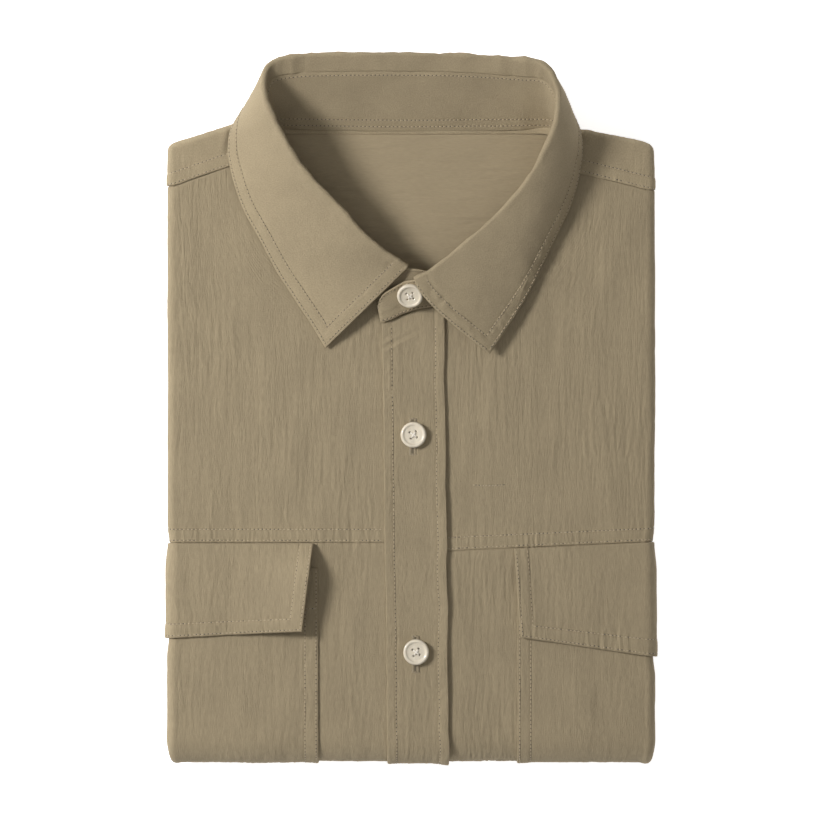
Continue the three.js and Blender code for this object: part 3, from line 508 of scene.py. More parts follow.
class Stitches:
    PITCH, RADIUS, SIDES = 2.0, 0.25, 6
    # Rings of one stitch: place along it, width and lift
    RINGS = [(-0.5, 0.0, -0.5), (-0.42, 0.8, -0.15), (0.0, 1.0, 0.25), (0.42, 0.8, -0.15), (0.5, 0.0, -0.5)]
    # How far a stitch strays from its place
    STRAY = 0.08

    # holes adds the dark marks of painted shade in the needle holes
    def __init__(self, length=1.4, holes=True, material=THREAD):
        self.length, self.holes, self.material = length, holes, material
        self.centres, self.alongs, self.normals = [], [], []

    def satin(self, points, normals, across_offset, pitch):
        """Close threads lying across a line of points, moved sideways by across_offset."""
        points, normals = np.asarray(points, float), np.asarray(normals, float)
        lengths = lengths_along(points)
        at = np.arange(0, lengths[-1] + 0.01, pitch)
        where = sample(points, lengths, at)
        facing = unit(sample(normals, lengths, at))
        sideways = unit(np.cross(facing, unit(np.gradient(where, axis=0))))
        jitter = rng.uniform(-self.STRAY, self.STRAY, (len(at), 1))
        self.centres.append(where + sideways * (across_offset + jitter))
        self.alongs.append(sideways)
        self.normals.append(facing)

    def row(self, points, normals, pitch=None):
        """Stitches along a polyline of points, with the surface normal at each."""
        pitch = pitch or self.PITCH
        points, normals = np.asarray(points), np.asarray(normals)
        lengths = lengths_along(points)
        if lengths[-1] < pitch:
            return
        at = np.arange(pitch / 2, lengths[-1], pitch)
        at = at + rng.uniform(-self.STRAY, self.STRAY, len(at))
        self.centres.append(sample(points, lengths, at))
        self.alongs.append(unit(sample(points, lengths, at + 0.4) - sample(points, lengths, at - 0.4)))
        self.normals.append(unit(sample(normals, lengths, at)))

    def capsule(self):
        """Vertices and faces of one stitch."""
        sides, rings = self.SIDES, self.RINGS
        vertices = []
        for x, r, lift in rings[1:-1]:
            for k in range(sides):
                a = 2 * math.pi * k / sides
                across, up = r * math.cos(a), r * math.sin(a) + lift
                vertices.append((x * self.length, across * self.RADIUS, up * self.RADIUS))
        for x, r, lift in (rings[0], rings[-1]):
            vertices.append((x * self.length, 0, lift * self.RADIUS))
        faces = []
        for ring in range(2):
            for k in range(sides):
                a, b = ring * sides + k, ring * sides + (k + 1) % sides
                faces += [(a, b, b + sides), (a, b + sides, a + sides)]
        first, last = 3 * sides, 3 * sides + 1
        for k in range(sides):
            m = (k + 1) % sides
            faces += [(m, k, first), (2 * sides + k, 2 * sides + m, last)]
        return np.array(vertices), np.array(faces)[:, ::-1]

    def build(self, name, slot):
        centres = np.concatenate(self.centres)
        along = np.concatenate(self.alongs)
        normal = np.concatenate(self.normals)
        across = unit(np.cross(normal, along))
        normal = np.cross(along, across)
        shape, faces = self.capsule()
        basis = np.stack([along, across, normal], axis=1)
        copies(name, shape, faces, basis, centres + 0.05 * normal, self.material, slot)
        # Dark octahedra between the stitches: painted shade in the needle holes
        if self.holes:
            hole_shade_places = centres + along * self.PITCH / 2 + 0.02 * normal
            copies(name + "_holes", HOLE_CORNERS, HOLE_FACES, basis, hole_shade_places, NEEDLE_HOLE_SHADE, slot)


body_stitches = Stitches()
collar_stitches = Stitches()
bar_stitches = Stitches(1.8, False, BAR_THREAD)
slit_shade_paths = []


# Fronts

NECKLINE = {
    "right": [(12, -65.7), (12, 0), (12, 54.2), (1, 54.2), (-13, 55.2), (-26.5, 59.3), (-41.5, 66),
              (-55, 76.8), (-66.5, 91.5), (-74, 106), (-76.4, 115), (-76.2, 123.3)],
    "left": [(12.3, -70), (12.3, 0), (12.3, 52.5), (23, 57), (37, 64.3), (52.3, 76.5), (64, 91.5),
             (71.3, 106), (75.2, 117.5)],
}


def along_polyline(points, share):
    points = np.asarray(points, float)
    lengths = lengths_along(points)
    return sample(points, lengths, share * lengths[-1])


def round_fold(degrees):
    """Steps round the side fold, in mm from where it starts."""
    return np.linspace(0, math.radians(degrees) * SIDE_RADIUS, 16)[1:]


def side_columns(start, sign, s, step, wrap_degrees):
    """u from start across the top face and round the side fold, the same count for every s."""
    reach = abs(sign * (HALF_WIDTH - SIDE_RADIUS) - start)
    flat = (half_width(s) - SIDE_RADIUS)[:, None]
    across = lerp(start, sign * flat, spaced(0, reach, step)[None, :] / reach)
    return np.concatenate([across, sign * (flat + round_fold(wrap_degrees)[None, :])], axis=1)


def seam_lift(distance):
    """A lapped and topstitched edge: thicker cloth, with a furrow under each row of stitches."""
    band = 0.3 * smooth((STITCH_FAR + 0.8 - distance) / 1.2)
    rows = 0.16 * bump(distance - STITCH_NEAR, 0.5) + 0.22 * bump(distance - STITCH_FAR, 0.7)
    return np.where(distance > -3, band - rows, 0)


def pucker(u, distance, reach=9.0, seed=0):
    fold = noise(u / 0.95 + 0.6 * noise(u / 4, distance / 4, 33 + seed), distance / 6, 30 + seed)
    patchy = 0.7 + 0.6 * noise(u / 13, distance / 30, 31 + seed)
    strong = 0.8 + 1.15 * bump(u + 25, 14) + 0.35 * smooth(u / 20)
    fold = 0.65 * fold + 0.5 * noise(u / 0.6, distance / 4, 35 + seed)
    return 0.24 * strong * patchy * fold * smooth(1.25 - np.abs(distance - 3.5) / reach)


# Rows of the front that are tucked under the yoke: how far past the seam, and how deep
YOKE_TUCK = np.array([(0.4, 0.35), (0.9, 1.0), (2.2, 1.15), (2.6, 1.15)])


def upper_front_points(side, rows_step=1.8, step=0.56):
    """u and s of the upper front's grid, and how deep each row lies under the yoke."""
    spec = SIDES[side]
    sign = spec["sign"]
    flat = sign * (HALF_WIDTH - SIDE_RADIUS)
    low, high = line_at(spec["chest"], flat), line_at(spec["yoke_seam"], sign * HALF_WIDTH)
    length = high - low
    share = dense(0, length, rows_step) / length
    starts = along_polyline(NECKLINE[side], share)
    side_s = lerp(low, high, share)
    u = np.concatenate([lerp_columns(starts[i, 0], sign, side_s[i], step) for i in range(len(share))])
    t = np.clip((u - starts[:, :1]) / (flat - starts[:, :1]), 0, 1)
    s = lerp(starts[:, 1:2], side_s[:, None], t)
    past, depth = YOKE_TUCK.T
    u = np.concatenate([u, np.repeat(u[-1:], len(past), axis=0)])
    s = np.concatenate([s, s[-1:] + past[:, None]])
    return u, s, np.concatenate([np.zeros(len(share)), depth])[:, None]


# Width that sets how many columns a row of a front has
ROW_WIDTH = 131


def lerp_columns(start, sign, s, step):
    """One row of u with a fixed number of columns, however far in the row starts."""
    flat = float(half_width(np.asarray(s, float))) - SIDE_RADIUS
    count = int(round(ROW_WIDTH / step))
    share = np.linspace(0, 1, count)
    rim = 0.5 / abs(sign * flat - start)
    share = np.unique(np.concatenate([share, [rim * 0.3, rim]]))
    tucked = math.pi * SIDE_RADIUS + np.array([TUCK / 2, TUCK - 0.4, TUCK])
    extra = np.concatenate([round_fold(180), tucked])
    return np.concatenate([lerp(start, sign * flat, share), sign * (flat + extra)])[None, :]


def chest_distance(side, u, s):
    x = np.clip(u, -HALF_WIDTH, HALF_WIDTH)
    return s - line_at(SIDES[side]["chest"], x)


def side_swell(side, u, s):
    """Below the flap the side fold stands out a little, and at the bottom its corner is tight."""
    spec = SIDES[side]
    angle = np.clip((np.abs(u) - half_width(s) + SIDE_RADIUS) / SIDE_RADIUS, 0, math.pi)
    below = spec["swell"] * np.sin(angle) * smooth((spec["swell_from"] - s) / 10)
    corner = 0.8 * np.where(angle < math.pi / 2, np.sin(2 * angle) ** 2, 0)
    corner = corner * np.sin(np.minimum(fold_angle(s), 1.57)) ** 2
    return (below + corner) * smooth((2.4 - fold_angle(s)) / 0.8)


def front_offset(side, u, s):
    """How far the front's outer face lies out from the body surface."""
    relief = body_relief(u, s, SIDES[side]["seed"]["body"])
    above = chest_distance(side, u, s)
    upper = np.where(above > -0.2, seam_lift(above) + pucker(u, above), 0)
    lower = np.where(above < 0, pucker(u, above) - 0.12 * smooth(1 + above / 6), 0)
    at_side = 0.35 * smooth((np.abs(u) - 100) / 14) * smooth((FOLD_Y + 4 - s) / -8)
    relief = relief * (1 - 0.35 * smooth((s - 88) / 20))
    return relief + upper + lower + at_side + side_swell(side, u, s)


def front_upper(side):
    u, s, under_yoke = upper_front_points(side)
    off = front_offset(side, u, s) - BODY_CLOTH / 2 - under_yoke
    middle = surface(u, s, off)
    cloth_piece(f"front_upper_{side}", "cloth", middle, surface_normal(u, s), BODY_CLOTH, u, s)


def lower_rows(start, fine, under_step):
    top = dense(start, FOLD_Y, fine)[:-2]
    fold = np.linspace(FOLD_Y, FOLD_Y - FOLD_ARC, 22)
    under = spaced(FOLD_Y - FOLD_ARC, HEM_S, under_step)[3:]
    return np.concatenate([top[top > FOLD_Y + 0.5], fold, under])


def front_lower(side):
    spec = SIDES[side]
    sign = spec["sign"]
    start = NECKLINE[side][0][0]
    seam = line_at(spec["chest"], sign * HALF_WIDTH / 2) + 2.5
    s_rows = lower_rows(seam, 1.9, 12.0)
    u = np.concatenate([lerp_columns(start, sign, row, 0.6) for row in s_rows])
    fade = smooth((s_rows - FOLD_Y) / (seam - FOLD_Y))[:, None]
    x = np.clip(np.abs(u), 0, HALF_WIDTH - SIDE_RADIUS) * sign
    s = s_rows[:, None] + fade * spec["chest"][2] * (x - sign * HALF_WIDTH / 2)
    tucked = smooth((chest_distance(side, u, s) + 0.5) / 0.9)
    off = front_offset(side, u, s) - BODY_CLOTH / 2 - 1.1 * tucked
    off = np.where(fold_angle(s) > 2.5, np.minimum(off, -BODY_CLOTH / 2 - 0.02), off)
    middle = surface(u, s, off)
    cloth_piece(f"front_lower_{side}", "cloth", middle, surface_normal(u, s), BODY_CLOTH, u, s)


def body_row(u, s, lift):
    """A row of stitches on the body surface."""
    u, s, lift = np.broadcast_arrays(u, s, lift)
    body_stitches.row(surface(u, s, lift), surface_normal(u, s))


def chest_stitches(side):
    spec = SIDES[side]
    u = spec["sign"] * np.arange(spec["stitches_from"], HALF_WIDTH + 7, 0.5)
    x = np.clip(u, -HALF_WIDTH, HALF_WIDTH)
    for distance in (STITCH_NEAR, STITCH_FAR):
        s = line_at(spec["chest"], x) + distance
        body_row(u, s, front_offset(side, u, s))


# Placket

PLACKET = dict(top=44.0, neck=(-14.2, 16.4), fold=(-11.6, 18.8))
PLACKET_END = np.array([(-14.2, 41.5), (-4.4, 45.8), (4, 48.6), (16.4, 50.8)])
PLACKET_STITCH = 4.6


def placket_edges(s):
    t = np.clip((PLACKET["top"] - s) / (PLACKET["top"] - FOLD_Y), None, 1)
    left = lerp(PLACKET["neck"][0], PLACKET["fold"][0], t)
    right = lerp(PLACKET["neck"][1], PLACKET["fold"][1], t)
    return left + 0.2 * noise(s / 11, 0.5 + 0 * s, 65), right + 0.5 * noise(s / 10, 0.5 + 0 * s, 64)


def placket_offset(u, s):
    left, right = placket_edges(s)
    from_left, from_right = u - left, right - u
    edge = np.minimum(from_left, from_right)
    band = 0.22 * smooth((PLACKET_STITCH + 0.6 - edge) / 1.2) - 0.2 * bump(edge - PLACKET_STITCH, 0.6)
    lip = 0.15 * bump(from_right - 1.2, 1.6) + 0.7 * smooth((-25 - s) / 40) * smooth(1 - from_right / 9)
    ease = 0.35 * noise(u / 30, s / 20, 60) * smooth((60 - np.abs(edge - 15)) / 20)
    relief = 0.85 * crinkle(u, s, 12) + 0.6 * waves(u, s, 12)
    relief = relief + 0.16 * noise((u - s) / 1.5, (u + s) / 5, 61) * bump(edge - 3.2, 2.6)
    slanted = s - 34 - 0.5 * (u + 5)
    slanted = slanted + 0.8 * noise(u / 4, s / 9, 62)
    furrow = 0.3 * bump(slanted + 2.2, 1.4) - 0.45 * bump(slanted, 0.9) + 0.2 * bump(slanted - 1.9, 1.1)
    furrow = (furrow - 0.25 * bump(slanted - 4.6, 0.8)) * smooth((9 - u) / 12)
    return PLACKET_CLOTH + relief + band + lip + ease + furrow


def placket():
    rows = np.concatenate([spaced(PLACKET["top"], FOLD_Y, 1.0)[:-2], spaced(FOLD_Y, BOTTOM_END, 1.1)[2:]])
    left, right = placket_edges(rows)
    width = right[0] - left[0]
    share = spaced(0, width, 0.55) / width
    u = lerp(left[:, None], right[:, None], share[None])
    fade = smooth(rows / PLACKET["top"])[:, None]
    end = np.interp(u, PLACKET_END[:, 0], PLACKET_END[:, 1])
    s = rows[:, None] + fade * (end - PLACKET["top"])
    taper = smooth((fold_angle(s) - 2.2) / 0.36)
    off = placket_offset(u, s) - PLACKET_CLOTH / 2 - 0.6 * taper
    cloth_piece("placket", "cloth", surface(u, s, off), surface_normal(u, s), PLACKET_CLOTH, u, s)
    line = np.arange(PLACKET["top"] - 3, FOLD_Y - 28, -0.6)
    left, right = placket_edges(line)
    for u in (left + PLACKET_STITCH, right - PLACKET_STITCH):
        body_row(u, line, placket_offset(u, line))


def buttonhole(points, normals):
    """A slit between two lips of close stitches, with a bar at each end; a dark thread along the slit paints
    its shade.
    """
    for sideways in (-1.15, 1.15):
        bar_stitches.satin(points, normals, sideways, 0.5)
    for end in (0, -1):
        bar_stitches.satin(points[end] + np.outer([-0.4, 0, 0.4], points[1] - points[0]), normals[:3], 0, 0.4)
    # The slit is a dark tube: painted shade in the gap
    slit_shade_paths.append(np.asarray(points) + np.asarray(normals) * 0.02)


def placket_buttonhole(x, low, high):
    s = np.linspace(low, high, 24)
    u = np.full(24, x)
    buttonhole(surface(u, s, placket_offset(u, s)), surface_normal(u, s))


BAR_TACK = dict(start=30.4, end=45.1, s=-37.6, pitch=1.5)


def bar_tack():
    u = np.linspace(BAR_TACK["start"], BAR_TACK["end"], 40)
    s = BAR_TACK["s"] + 0.3 * noise(u / 6, u / 9, 44)
    body_stitches.row(surface(u, s, front_offset("left", u, s)), surface_normal(u, s), BAR_TACK["pitch"])


# Pockets and flaps


def pocket_offset(side, u, s):
    inner = np.abs(u - SIDES[side]["pocket_edge"])
    mouth = POCKET_MOUTH - s
    band = 0.2 * smooth((STITCH_FAR + 0.6 - inner) / 1.2) - 0.15 * bump(inner - STITCH_NEAR, 0.5)
    band = band - 0.2 * bump(inner - STITCH_FAR, 0.6) - 0.2 * bump(mouth - MOUTH_HEM, 0.7)
    hem = 0.2 * smooth((MOUTH_HEM + 0.4 - mouth) / 1.0)
    seed = SIDES[side]["seed"]
    relief = crinkle(u, s, seed["pocket"]) + 0.8 * waves(u, s, seed["body"])
    under = smooth((fold_angle(s) - 1.9) / 0.6)
    cloth = relief + creases(u, s) + band + hem + pucker(s, inner, 8, 3) + side_swell(side, u, s)
    return 0.1 + PATCH_CLOTH + (1 - under) * cloth - 0.3 * under


def pocket(side):
    spec = SIDES[side]
    sign = spec["sign"]
    s_rows = np.concatenate([spaced(POCKET_MOUTH, FOLD_Y, 1.7)[:-2], spaced(FOLD_Y, BOTTOM_END, 1.4)[2:]])
    u = side_columns(spec["pocket_edge"], sign, s_rows, 0.68, POCKET_WRAP)
    s = np.broadcast_to(s_rows[:, None], u.shape)
    middle = surface(u, s, pocket_offset(side, u, s) - PATCH_CLOTH / 2)
    cloth_piece(f"pocket_{side}", "cloth", middle, surface_normal(u, s), PATCH_CLOTH, u, s)
    line = np.arange(POCKET_MOUTH - 1, BOTTOM_END + 3, -0.6)
    for inset in (STITCH_NEAR, STITCH_FAR):
        across = np.full(len(line), spec["pocket_edge"] + sign * inset)
        body_row(across, line, pocket_offset(side, across, line))
    across = np.arange(abs(spec["pocket_edge"]) + 1, HALF_WIDTH + 4, 0.6) * sign
    hem = np.full(len(across), POCKET_MOUTH - MOUTH_HEM)
    body_row(across, hem, pocket_offset(side, across, hem))


# Nominal depth and width of a flap, which set its rows and columns
FLAP_DEPTH, FLAP_WIDTH = 44.0, 70
FLAP_LIFT = dict(middle=9.5, middle_at=0.38, corner=7.5, reach=62.0, power=2.2)


def flap_lift(side, inward, t):
    """How far a flap's inner face stands above the front: the right one is lifted at its free edge."""
    on_pocket = smooth(t * 4) * (PATCH_CLOTH + GAP)
    if side == "left":
        return GAP + on_pocket + 0.5 * bump(inward - 2, 5) * smooth(t * 2)
    f = FLAP_LIFT
    early = f["middle"] * np.sin(np.clip(t / f["middle_at"], 0, 1) * math.pi / 2)
    late = lerp(f["middle"], f["corner"], smooth((t - f["middle_at"]) / (1 - f["middle_at"])))
    rise = np.where(t < f["middle_at"], early, late)
    near = np.clip(1 - inward / f["reach"], 0, 1) ** f["power"]
    return GAP + np.maximum(on_pocket, rise * near)


def flap_grid(side, t, inward):
    """Points of a flap: t from the seam to its lower edge, inward in mm from its free edge."""
    spec = SIDES[side]
    sign, cut = spec["sign"], spec["flap"]
    edge = lerp(cut["top"], cut["bottom"], t)
    u = edge + sign * inward
    x = np.clip(u, -HALF_WIDTH, HALF_WIDTH)
    top = line_at(spec["chest"], x) - GAP
    bottom = cut["bottom_y"] + cut["slope"] * (x - cut["bottom"])
    s = lerp(top, bottom, t)
    return u, s, flap_lift(side, np.abs(x - edge), t)


def flap_offset(side, u, s, lift, t, inward):
    depth = (1 - t) * FLAP_DEPTH
    edge = np.minimum(depth, inward)
    band = 0.28 * smooth((STITCH_FAR + 0.6 - edge) / 1.1)
    rows = 0.17 * bump(edge - STITCH_NEAR, 0.5) + 0.22 * bump(edge - STITCH_FAR, 0.65)
    relief = 0.9 * crinkle(u, s, SIDES[side]["seed"]["flap"]) + 0.8 * waves(u, s, 8)
    return lift + FLAP_CLOTH + relief + band - rows + pucker(u, edge, 8, 5)


def flap(side):
    cut = SIDES[side]["flap"]
    t = (1 - dense(0, FLAP_DEPTH, 1.3, 0.6) / FLAP_DEPTH)[::-1][:, None]
    reach = HALF_WIDTH - SIDE_RADIUS + math.radians(FLAP_WRAP) * SIDE_RADIUS - POCKET_RELIEF
    edge = np.abs(lerp(cut["top"], cut["bottom"], t))
    inward = (reach - edge) * (spaced(0, FLAP_WIDTH, 0.62) / FLAP_WIDTH)[None, :]
    u, s, lift = flap_grid(side, t, inward)
    middle = surface(u, s, flap_offset(side, u, s, lift, t, inward) - FLAP_CLOTH / 2)
    normal = grid_normal(middle, surface_normal(u, s))
    cloth_piece(f"flap_{side}", "cloth", middle, normal, FLAP_CLOTH, u, s)
    for inset in (STITCH_NEAR, STITCH_FAR):
        down = np.linspace(0.02, 1 - inset / FLAP_DEPTH, 80)
        stitch_flap(side, down, np.full(80, inset))
        across = np.arange(inset, FLAP_WIDTH - 4 + inset, 0.6)
        stitch_flap(side, np.full(len(across), 1 - inset / FLAP_DEPTH), across)


def stitch_flap(side, t, inward):
    u, s, lift = flap_grid(side, t, inward)
    off = flap_offset(side, u, s, lift, t, inward)
    body_stitches.row(surface(u, s, off), surface_normal(u, s))


def grid_normal(points, hint):
    """Normals of a grid of points, on the side that hint points to."""
    along = np.gradient(points, axis=0)
    across = np.gradient(points, axis=1)
    normal = unit(np.cross(along, across))
    flip = np.where(np.sum(normal * hint, axis=-1, keepdims=True) < 0, -1.0, 1.0)
    return normal * flip


# Smooth curves through table rows


def catmull(values, t):
    """Values of a table's columns at t rows, on a smooth curve through the rows."""
    values = np.asarray(values, float)
    padded = np.concatenate([2 * values[:1] - values[1:2], values, 2 * values[-1:] - values[-2:-1]])
    i = np.clip(np.floor(t).astype(int), 0, len(values) - 2)
    f = (t - i)[:, None]
    p0, p1, p2, p3 = padded[i], padded[i + 1], padded[i + 2], padded[i + 3]
    return 0.5 * (2 * p1 + (p2 - p0) * f + (2 * p0 - 5 * p1 + 4 * p2 - p3) * f ** 2
                  + (3 * p1 - p0 - 3 * p2 + p3) * f ** 3)


def table_change(table, t, reach):
    """How a table's columns change from reach before t to reach after it."""
    last = len(table) - 1
    return catmull(table, np.clip(t + reach, 0, last)) - catmull(table, np.clip(t - reach, 0, last))


# Yoke. Columns: folded edge x and y, seam edge x and y, drop below the top face, fold radius
YOKE = np.array([
    (-119.5, 109.3, -115.3, 109.8, 0, 3.5), (-119.6, 118, -113, 110.6, 0, 3.5),
    (-119.4, 126.4, -110, 112.2, 0, 3.5), (-118.2, 129.2, -107, 113.3, 0, 3.5),
    (-115.4, 131, -103, 114.7, 0, 3.5), (-110, 132.7, -98, 116.4, 0, 3.5),
    (-98, 136.6, -90, 119.1, 0, 3.5), (-86, 140, -81, 122.2, 0, 3.5),
    (-80, 140.8, -75.2, 125.2, 0.2, 3.4), (-74, 140.4, -71.8, 131.2, 1.4, 3.1),
    (-67, 139.6, -66.5, 134.6, 4, 2.5), (-56, 138.8, -56, 135.1, 5.6, 2.2),
    (-28, 138.6, -28, 135, 5.9, 2.1), (0, 138.5, 0, 135, 6, 2.1), (28, 138.6, 28, 135, 5.9, 2.1),
    (56, 138.8, 56, 135.1, 5.6, 2.2), (67, 139.2, 67, 134.6, 4, 2.5), (73, 139.6, 71.4, 131.2, 1.4, 3.1),
    (79, 137.4, 74.8, 123.6, 0.2, 3.4), (85, 136.7, 80, 116.9, 0, 3.5), (98, 134.6, 90, 114.2, 0, 3.5),
    (110, 132.2, 98, 112.5, 0, 3.5), (115.4, 130.8, 103, 111.3, 0, 3.5), (118.2, 129, 107, 110.3, 0, 3.5),
    (119.4, 125.6, 110, 109.6, 0, 3.5), (119.6, 116, 113, 108.4, 0, 3.5),
    (119.5, 107.2, 115.3, 107.7, 0, 3.5),
])


def yoke_rows(t, top_share, wrap_angles):
    """Mid-points and normals of the yoke's outer face for columns at table position t."""
    table = catmull(YOKE, t)
    along = unit(table_change(YOKE, t, 0.05)[:, :2])
    out = np.stack([-along[:, 1], along[:, 0]], axis=1)
    radius, drop = table[:, 5:6], table[:, 4]
    fold = table[:, :2] - out * radius
    points, normals = [], []
    for share in top_share:
        xy = lerp(table[:, 2:4], fold, share)
        z = body_top(xy[:, 0], xy[:, 1]) - drop
        points.append(np.column_stack([xy, z]))
        normals.append(np.tile([0.0, 0.0, 1.0], (len(t), 1)))
    centre_z = body_top(fold[:, 0], fold[:, 1]) - drop - radius[:, 0]
    for angle in wrap_angles:
        direction = np.column_stack([out * math.sin(angle), np.full(len(t), math.cos(angle))])
        points.append(np.column_stack([fold, centre_z]) + direction * radius)
        normals.append(direction)
    return np.stack(points, axis=1), np.stack(normals, axis=1)


def yoke_offset(x, y):
    """How far the yoke's outer face lies out from the body surface."""
    inside = np.clip(x, -HALF_WIDTH, HALF_WIDTH)
    right, left = (line_at(SIDES[side]["yoke_seam"], inside) for side in ("right", "left"))
    distance = y - np.where(x < 0, right, left)
    on_shoulder = smooth((np.abs(x) - 76) / 6)
    relief = 0.22 * noise(x / 14, y / 11, 70) + 0.06 * noise(x / 3, y / 3, 71)
    relief = relief + 0.08 * noise(x / 1.3, y / 7, 72)
    lap = seam_lift(distance) + 0.35 * smooth(1 - distance / 14) + 0.5 * pucker(x, distance, 11, 5)
    fold = 0.3 * bump(x + 92.5 - 0.25 * (y - 130), 1.8) - 0.8 * bump(x + 88.8 - 0.25 * (y - 130), 1.6)
    fold = fold + 0.45 * bump(x - 92 + 0.3 * (y - 120), 2.2)
    return relief + 0.1 + on_shoulder * (lap + fold * smooth((y - 122) / 8) * smooth((139 - y) / 4))


def yoke():
    t = np.linspace(0, len(YOKE) - 1, 360)
    top_share = np.concatenate([[-0.035, -0.03, -0.015], np.linspace(0.01, 1, 26)])
    wraps = np.linspace(0, math.pi, 18)[1:]
    points, normals = yoke_rows(t, top_share, wraps)
    off = yoke_offset(points[..., 0], points[..., 1]) - BODY_CLOTH / 2
    middle = points + normals * off[..., None]
    x, along = points[..., 0], points[..., 1] + points[..., 2]
    cloth_piece("yoke", "smooth_cloth", middle, normals, BODY_CLOTH, x, along)
    for spec in SIDES.values():
        u = spec["sign"] * np.arange(74, 125, 0.5)
        x = np.clip(u, -HALF_WIDTH, HALF_WIDTH)
        for distance in (STITCH_NEAR, STITCH_FAR):
            s = line_at(spec["yoke_seam"], x) + distance
            body_row(u, s, yoke_offset(x, s))


# Inside of the back


# Where the neckline starts to run up each side
NECK_SIDE_FROM = {"right": 54.4, "left": 50}


def neck_reach(side, y):
    points = np.array([p for p in NECKLINE[side] if p[1] > NECK_SIDE_FROM[side]])
    return np.interp(y, points[:, 1], points[:, 0])


def yoke_lining():
    y = spaced(57.5, 136.4, 0.68)
    reach = 0.6 - 6 * smooth((y - 118) / 8)
    right, left = neck_reach("right", y) + reach, neck_reach("left", y) - reach
    share = spaced(0, 150, 1.9) / 150
    x = lerp(right[:, None], left[:, None], share[None])
    yy = np.broadcast_to(y[:, None], x.shape)
    drift = yy + 1.5 * noise(x / 16, yy / 12, 83)
    rough = 0.2 * noise(x / 11, drift / 1.5, 80) + 0.09 * noise(x / 5, drift / 0.8, 81)
    rough = rough - 0.2 * bump(noise(x / 17, drift / 2.6, 84), 0.2) + 0.5 * noise(x / 40, yy / 16, 82)
    z = body_top(0, yy) - 2 * SIDE_RADIUS + 0.8 + 0.8 * rough - 1.3 * smooth((yy - 134.2) / 1.6)
    up = np.broadcast_to([0.0, 0.0, 1.0], x.shape + (3,))
    cloth_piece("yoke_lining", "lining_cloth", np.stack([x, yy, z], -1), up, LINING_CLOTH, x, yy)


# Collar and stand. Columns: seam x y z, crest x y z, edge x y z, strip, bulge
COLLAR = np.array([
    (1.3, 48.5, 26.1, 1.2, 63.8, 38.4, 38.5, 26.5, 29.4, 1, 0.5),
    (12, 50.5, 26.1, 9.5, 68.0, 39, 43.5, 34, 28.9, 1.5, 1.5),
    (24, 55, 25.1, 19.1, 75.6, 39.5, 49.5, 43, 28.4, 2, 2.5),
    (38, 62.5, 24.4, 31.4, 86, 40.5, 56.6, 54.5, 27.4, 2, 3),
    (54, 75, 24.1, 43, 96.5, 41.5, 63.2, 68, 26.2, 2, 3.5),
    (66, 90, 23.7, 52, 106.5, 42.6, 72, 86, 25.5, 2, 4),
    (73.5, 105, 23.1, 59.4, 117, 43.4, 79.5, 102, 25, 2, 4),
    (77, 118, 22.6, 65.6, 129, 43.8, 83.2, 117.5, 24.6, 2, 4),
    (76.5, 127, 22.3, 69.7, 140, 43.6, 83.8, 130, 23.8, 2, 4),
    (74, 133, 22, 71.2, 149.5, 42.4, 81.5, 140, 18, 3, 4),
    (70.5, 136.2, 20.6, 70.6, 158.5, 40.2, 76, 147.5, 9, 4.5, 4.5),
    (65, 136.9, 18.7, 64.4, 168.2, 37.6, 66, 151.5, 3.4, 7, 5),
    (51, 136.6, 17.9, 50.5, 171.0, 35.4, 51, 150, 1.9, 8, 5),
    (26, 136.2, 17.6, 26, 172.9, 34.4, 26, 149.5, 1.9, 8, 5),
    (0, 136, 17.5, -1, 173.5, 34, 0, 149.5, 1.9, 8, 5),
    (-26, 136.2, 17.6, -28, 173.4, 34.4, -26, 149.5, 1.9, 8, 5),
    (-51, 136.6, 17.9, -55, 172.5, 35.4, -51, 150, 1.9, 8, 5),
    (-63, 137, 18.7, -68.4, 168.6, 37.6, -67, 152, 3.4, 7, 5),
    (-67.5, 136.2, 20.6, -71.4, 160, 40.2, -78, 148.5, 9, 4.5, 4.5),
    (-72, 133, 22, -70.2, 151, 42.4, -85, 143, 18, 3, 4),
    (-76, 127, 22.3, -66.3, 142, 43.6, -89.2, 135, 23.8, 2, 3.5),
    (-78.5, 118, 22.6, -60.4, 130.8, 43.8, -90, 124.5, 24.6, 2, 3),
    (-76.5, 105, 23.1, -53.4, 119.2, 43.4, -87.2, 111.5, 25, 2, 3),
    (-69, 90, 23.7, -44.5, 109, 42.6, -82.5, 98, 25.5, 2, 3),
    (-57, 75, 24.1, -34.5, 99.6, 41.2, -74.6, 83.5, 25.8, 2, 3),
    (-43, 64, 24.4, -24, 87.4, 39, -66, 67.2, 26, 2, 2.5),
    (-28, 57, 24.5, -14.2, 78.8, 37, -57.4, 53.8, 26, 2, 2),
    (-14, 53, 24.6, -6.5, 73.4, 34.7, -49, 41.2, 26.1, 1.5, 1.2),
    (-4, 52.2, 24.6, -1.2, 69.9, 33.2, -41.9, 29.4, 26.1, 1, 0.5),
])
ROLL_RADIUS = 1.7
FRONT_BOW = 2.9
# Ends of the stand past the collar. Columns: seam x y z, top x y z
BUTTON_END = np.array([
    (-14.9, 42.4, 26.1, -16.2, 50.4, 28.6), (-13.4, 42.5, 26.1, -13.8, 55.8, 31.2),
    (-9.5, 43.8, 26.1, -9.6, 58.9, 32.2), (-4.4, 46.4, 26.1, -3.8, 62.1, 33.0),
])
UNDER_END = np.array([(2, 52.2, 24.6, 2.8, 68.6, 31.4), (8, 52.4, 24.6, 8.6, 67.4, 30.6)])
LAST_ROW = len(COLLAR) - 1


def dot(a, b):
    return np.sum(a * b, axis=-1, keepdims=True)


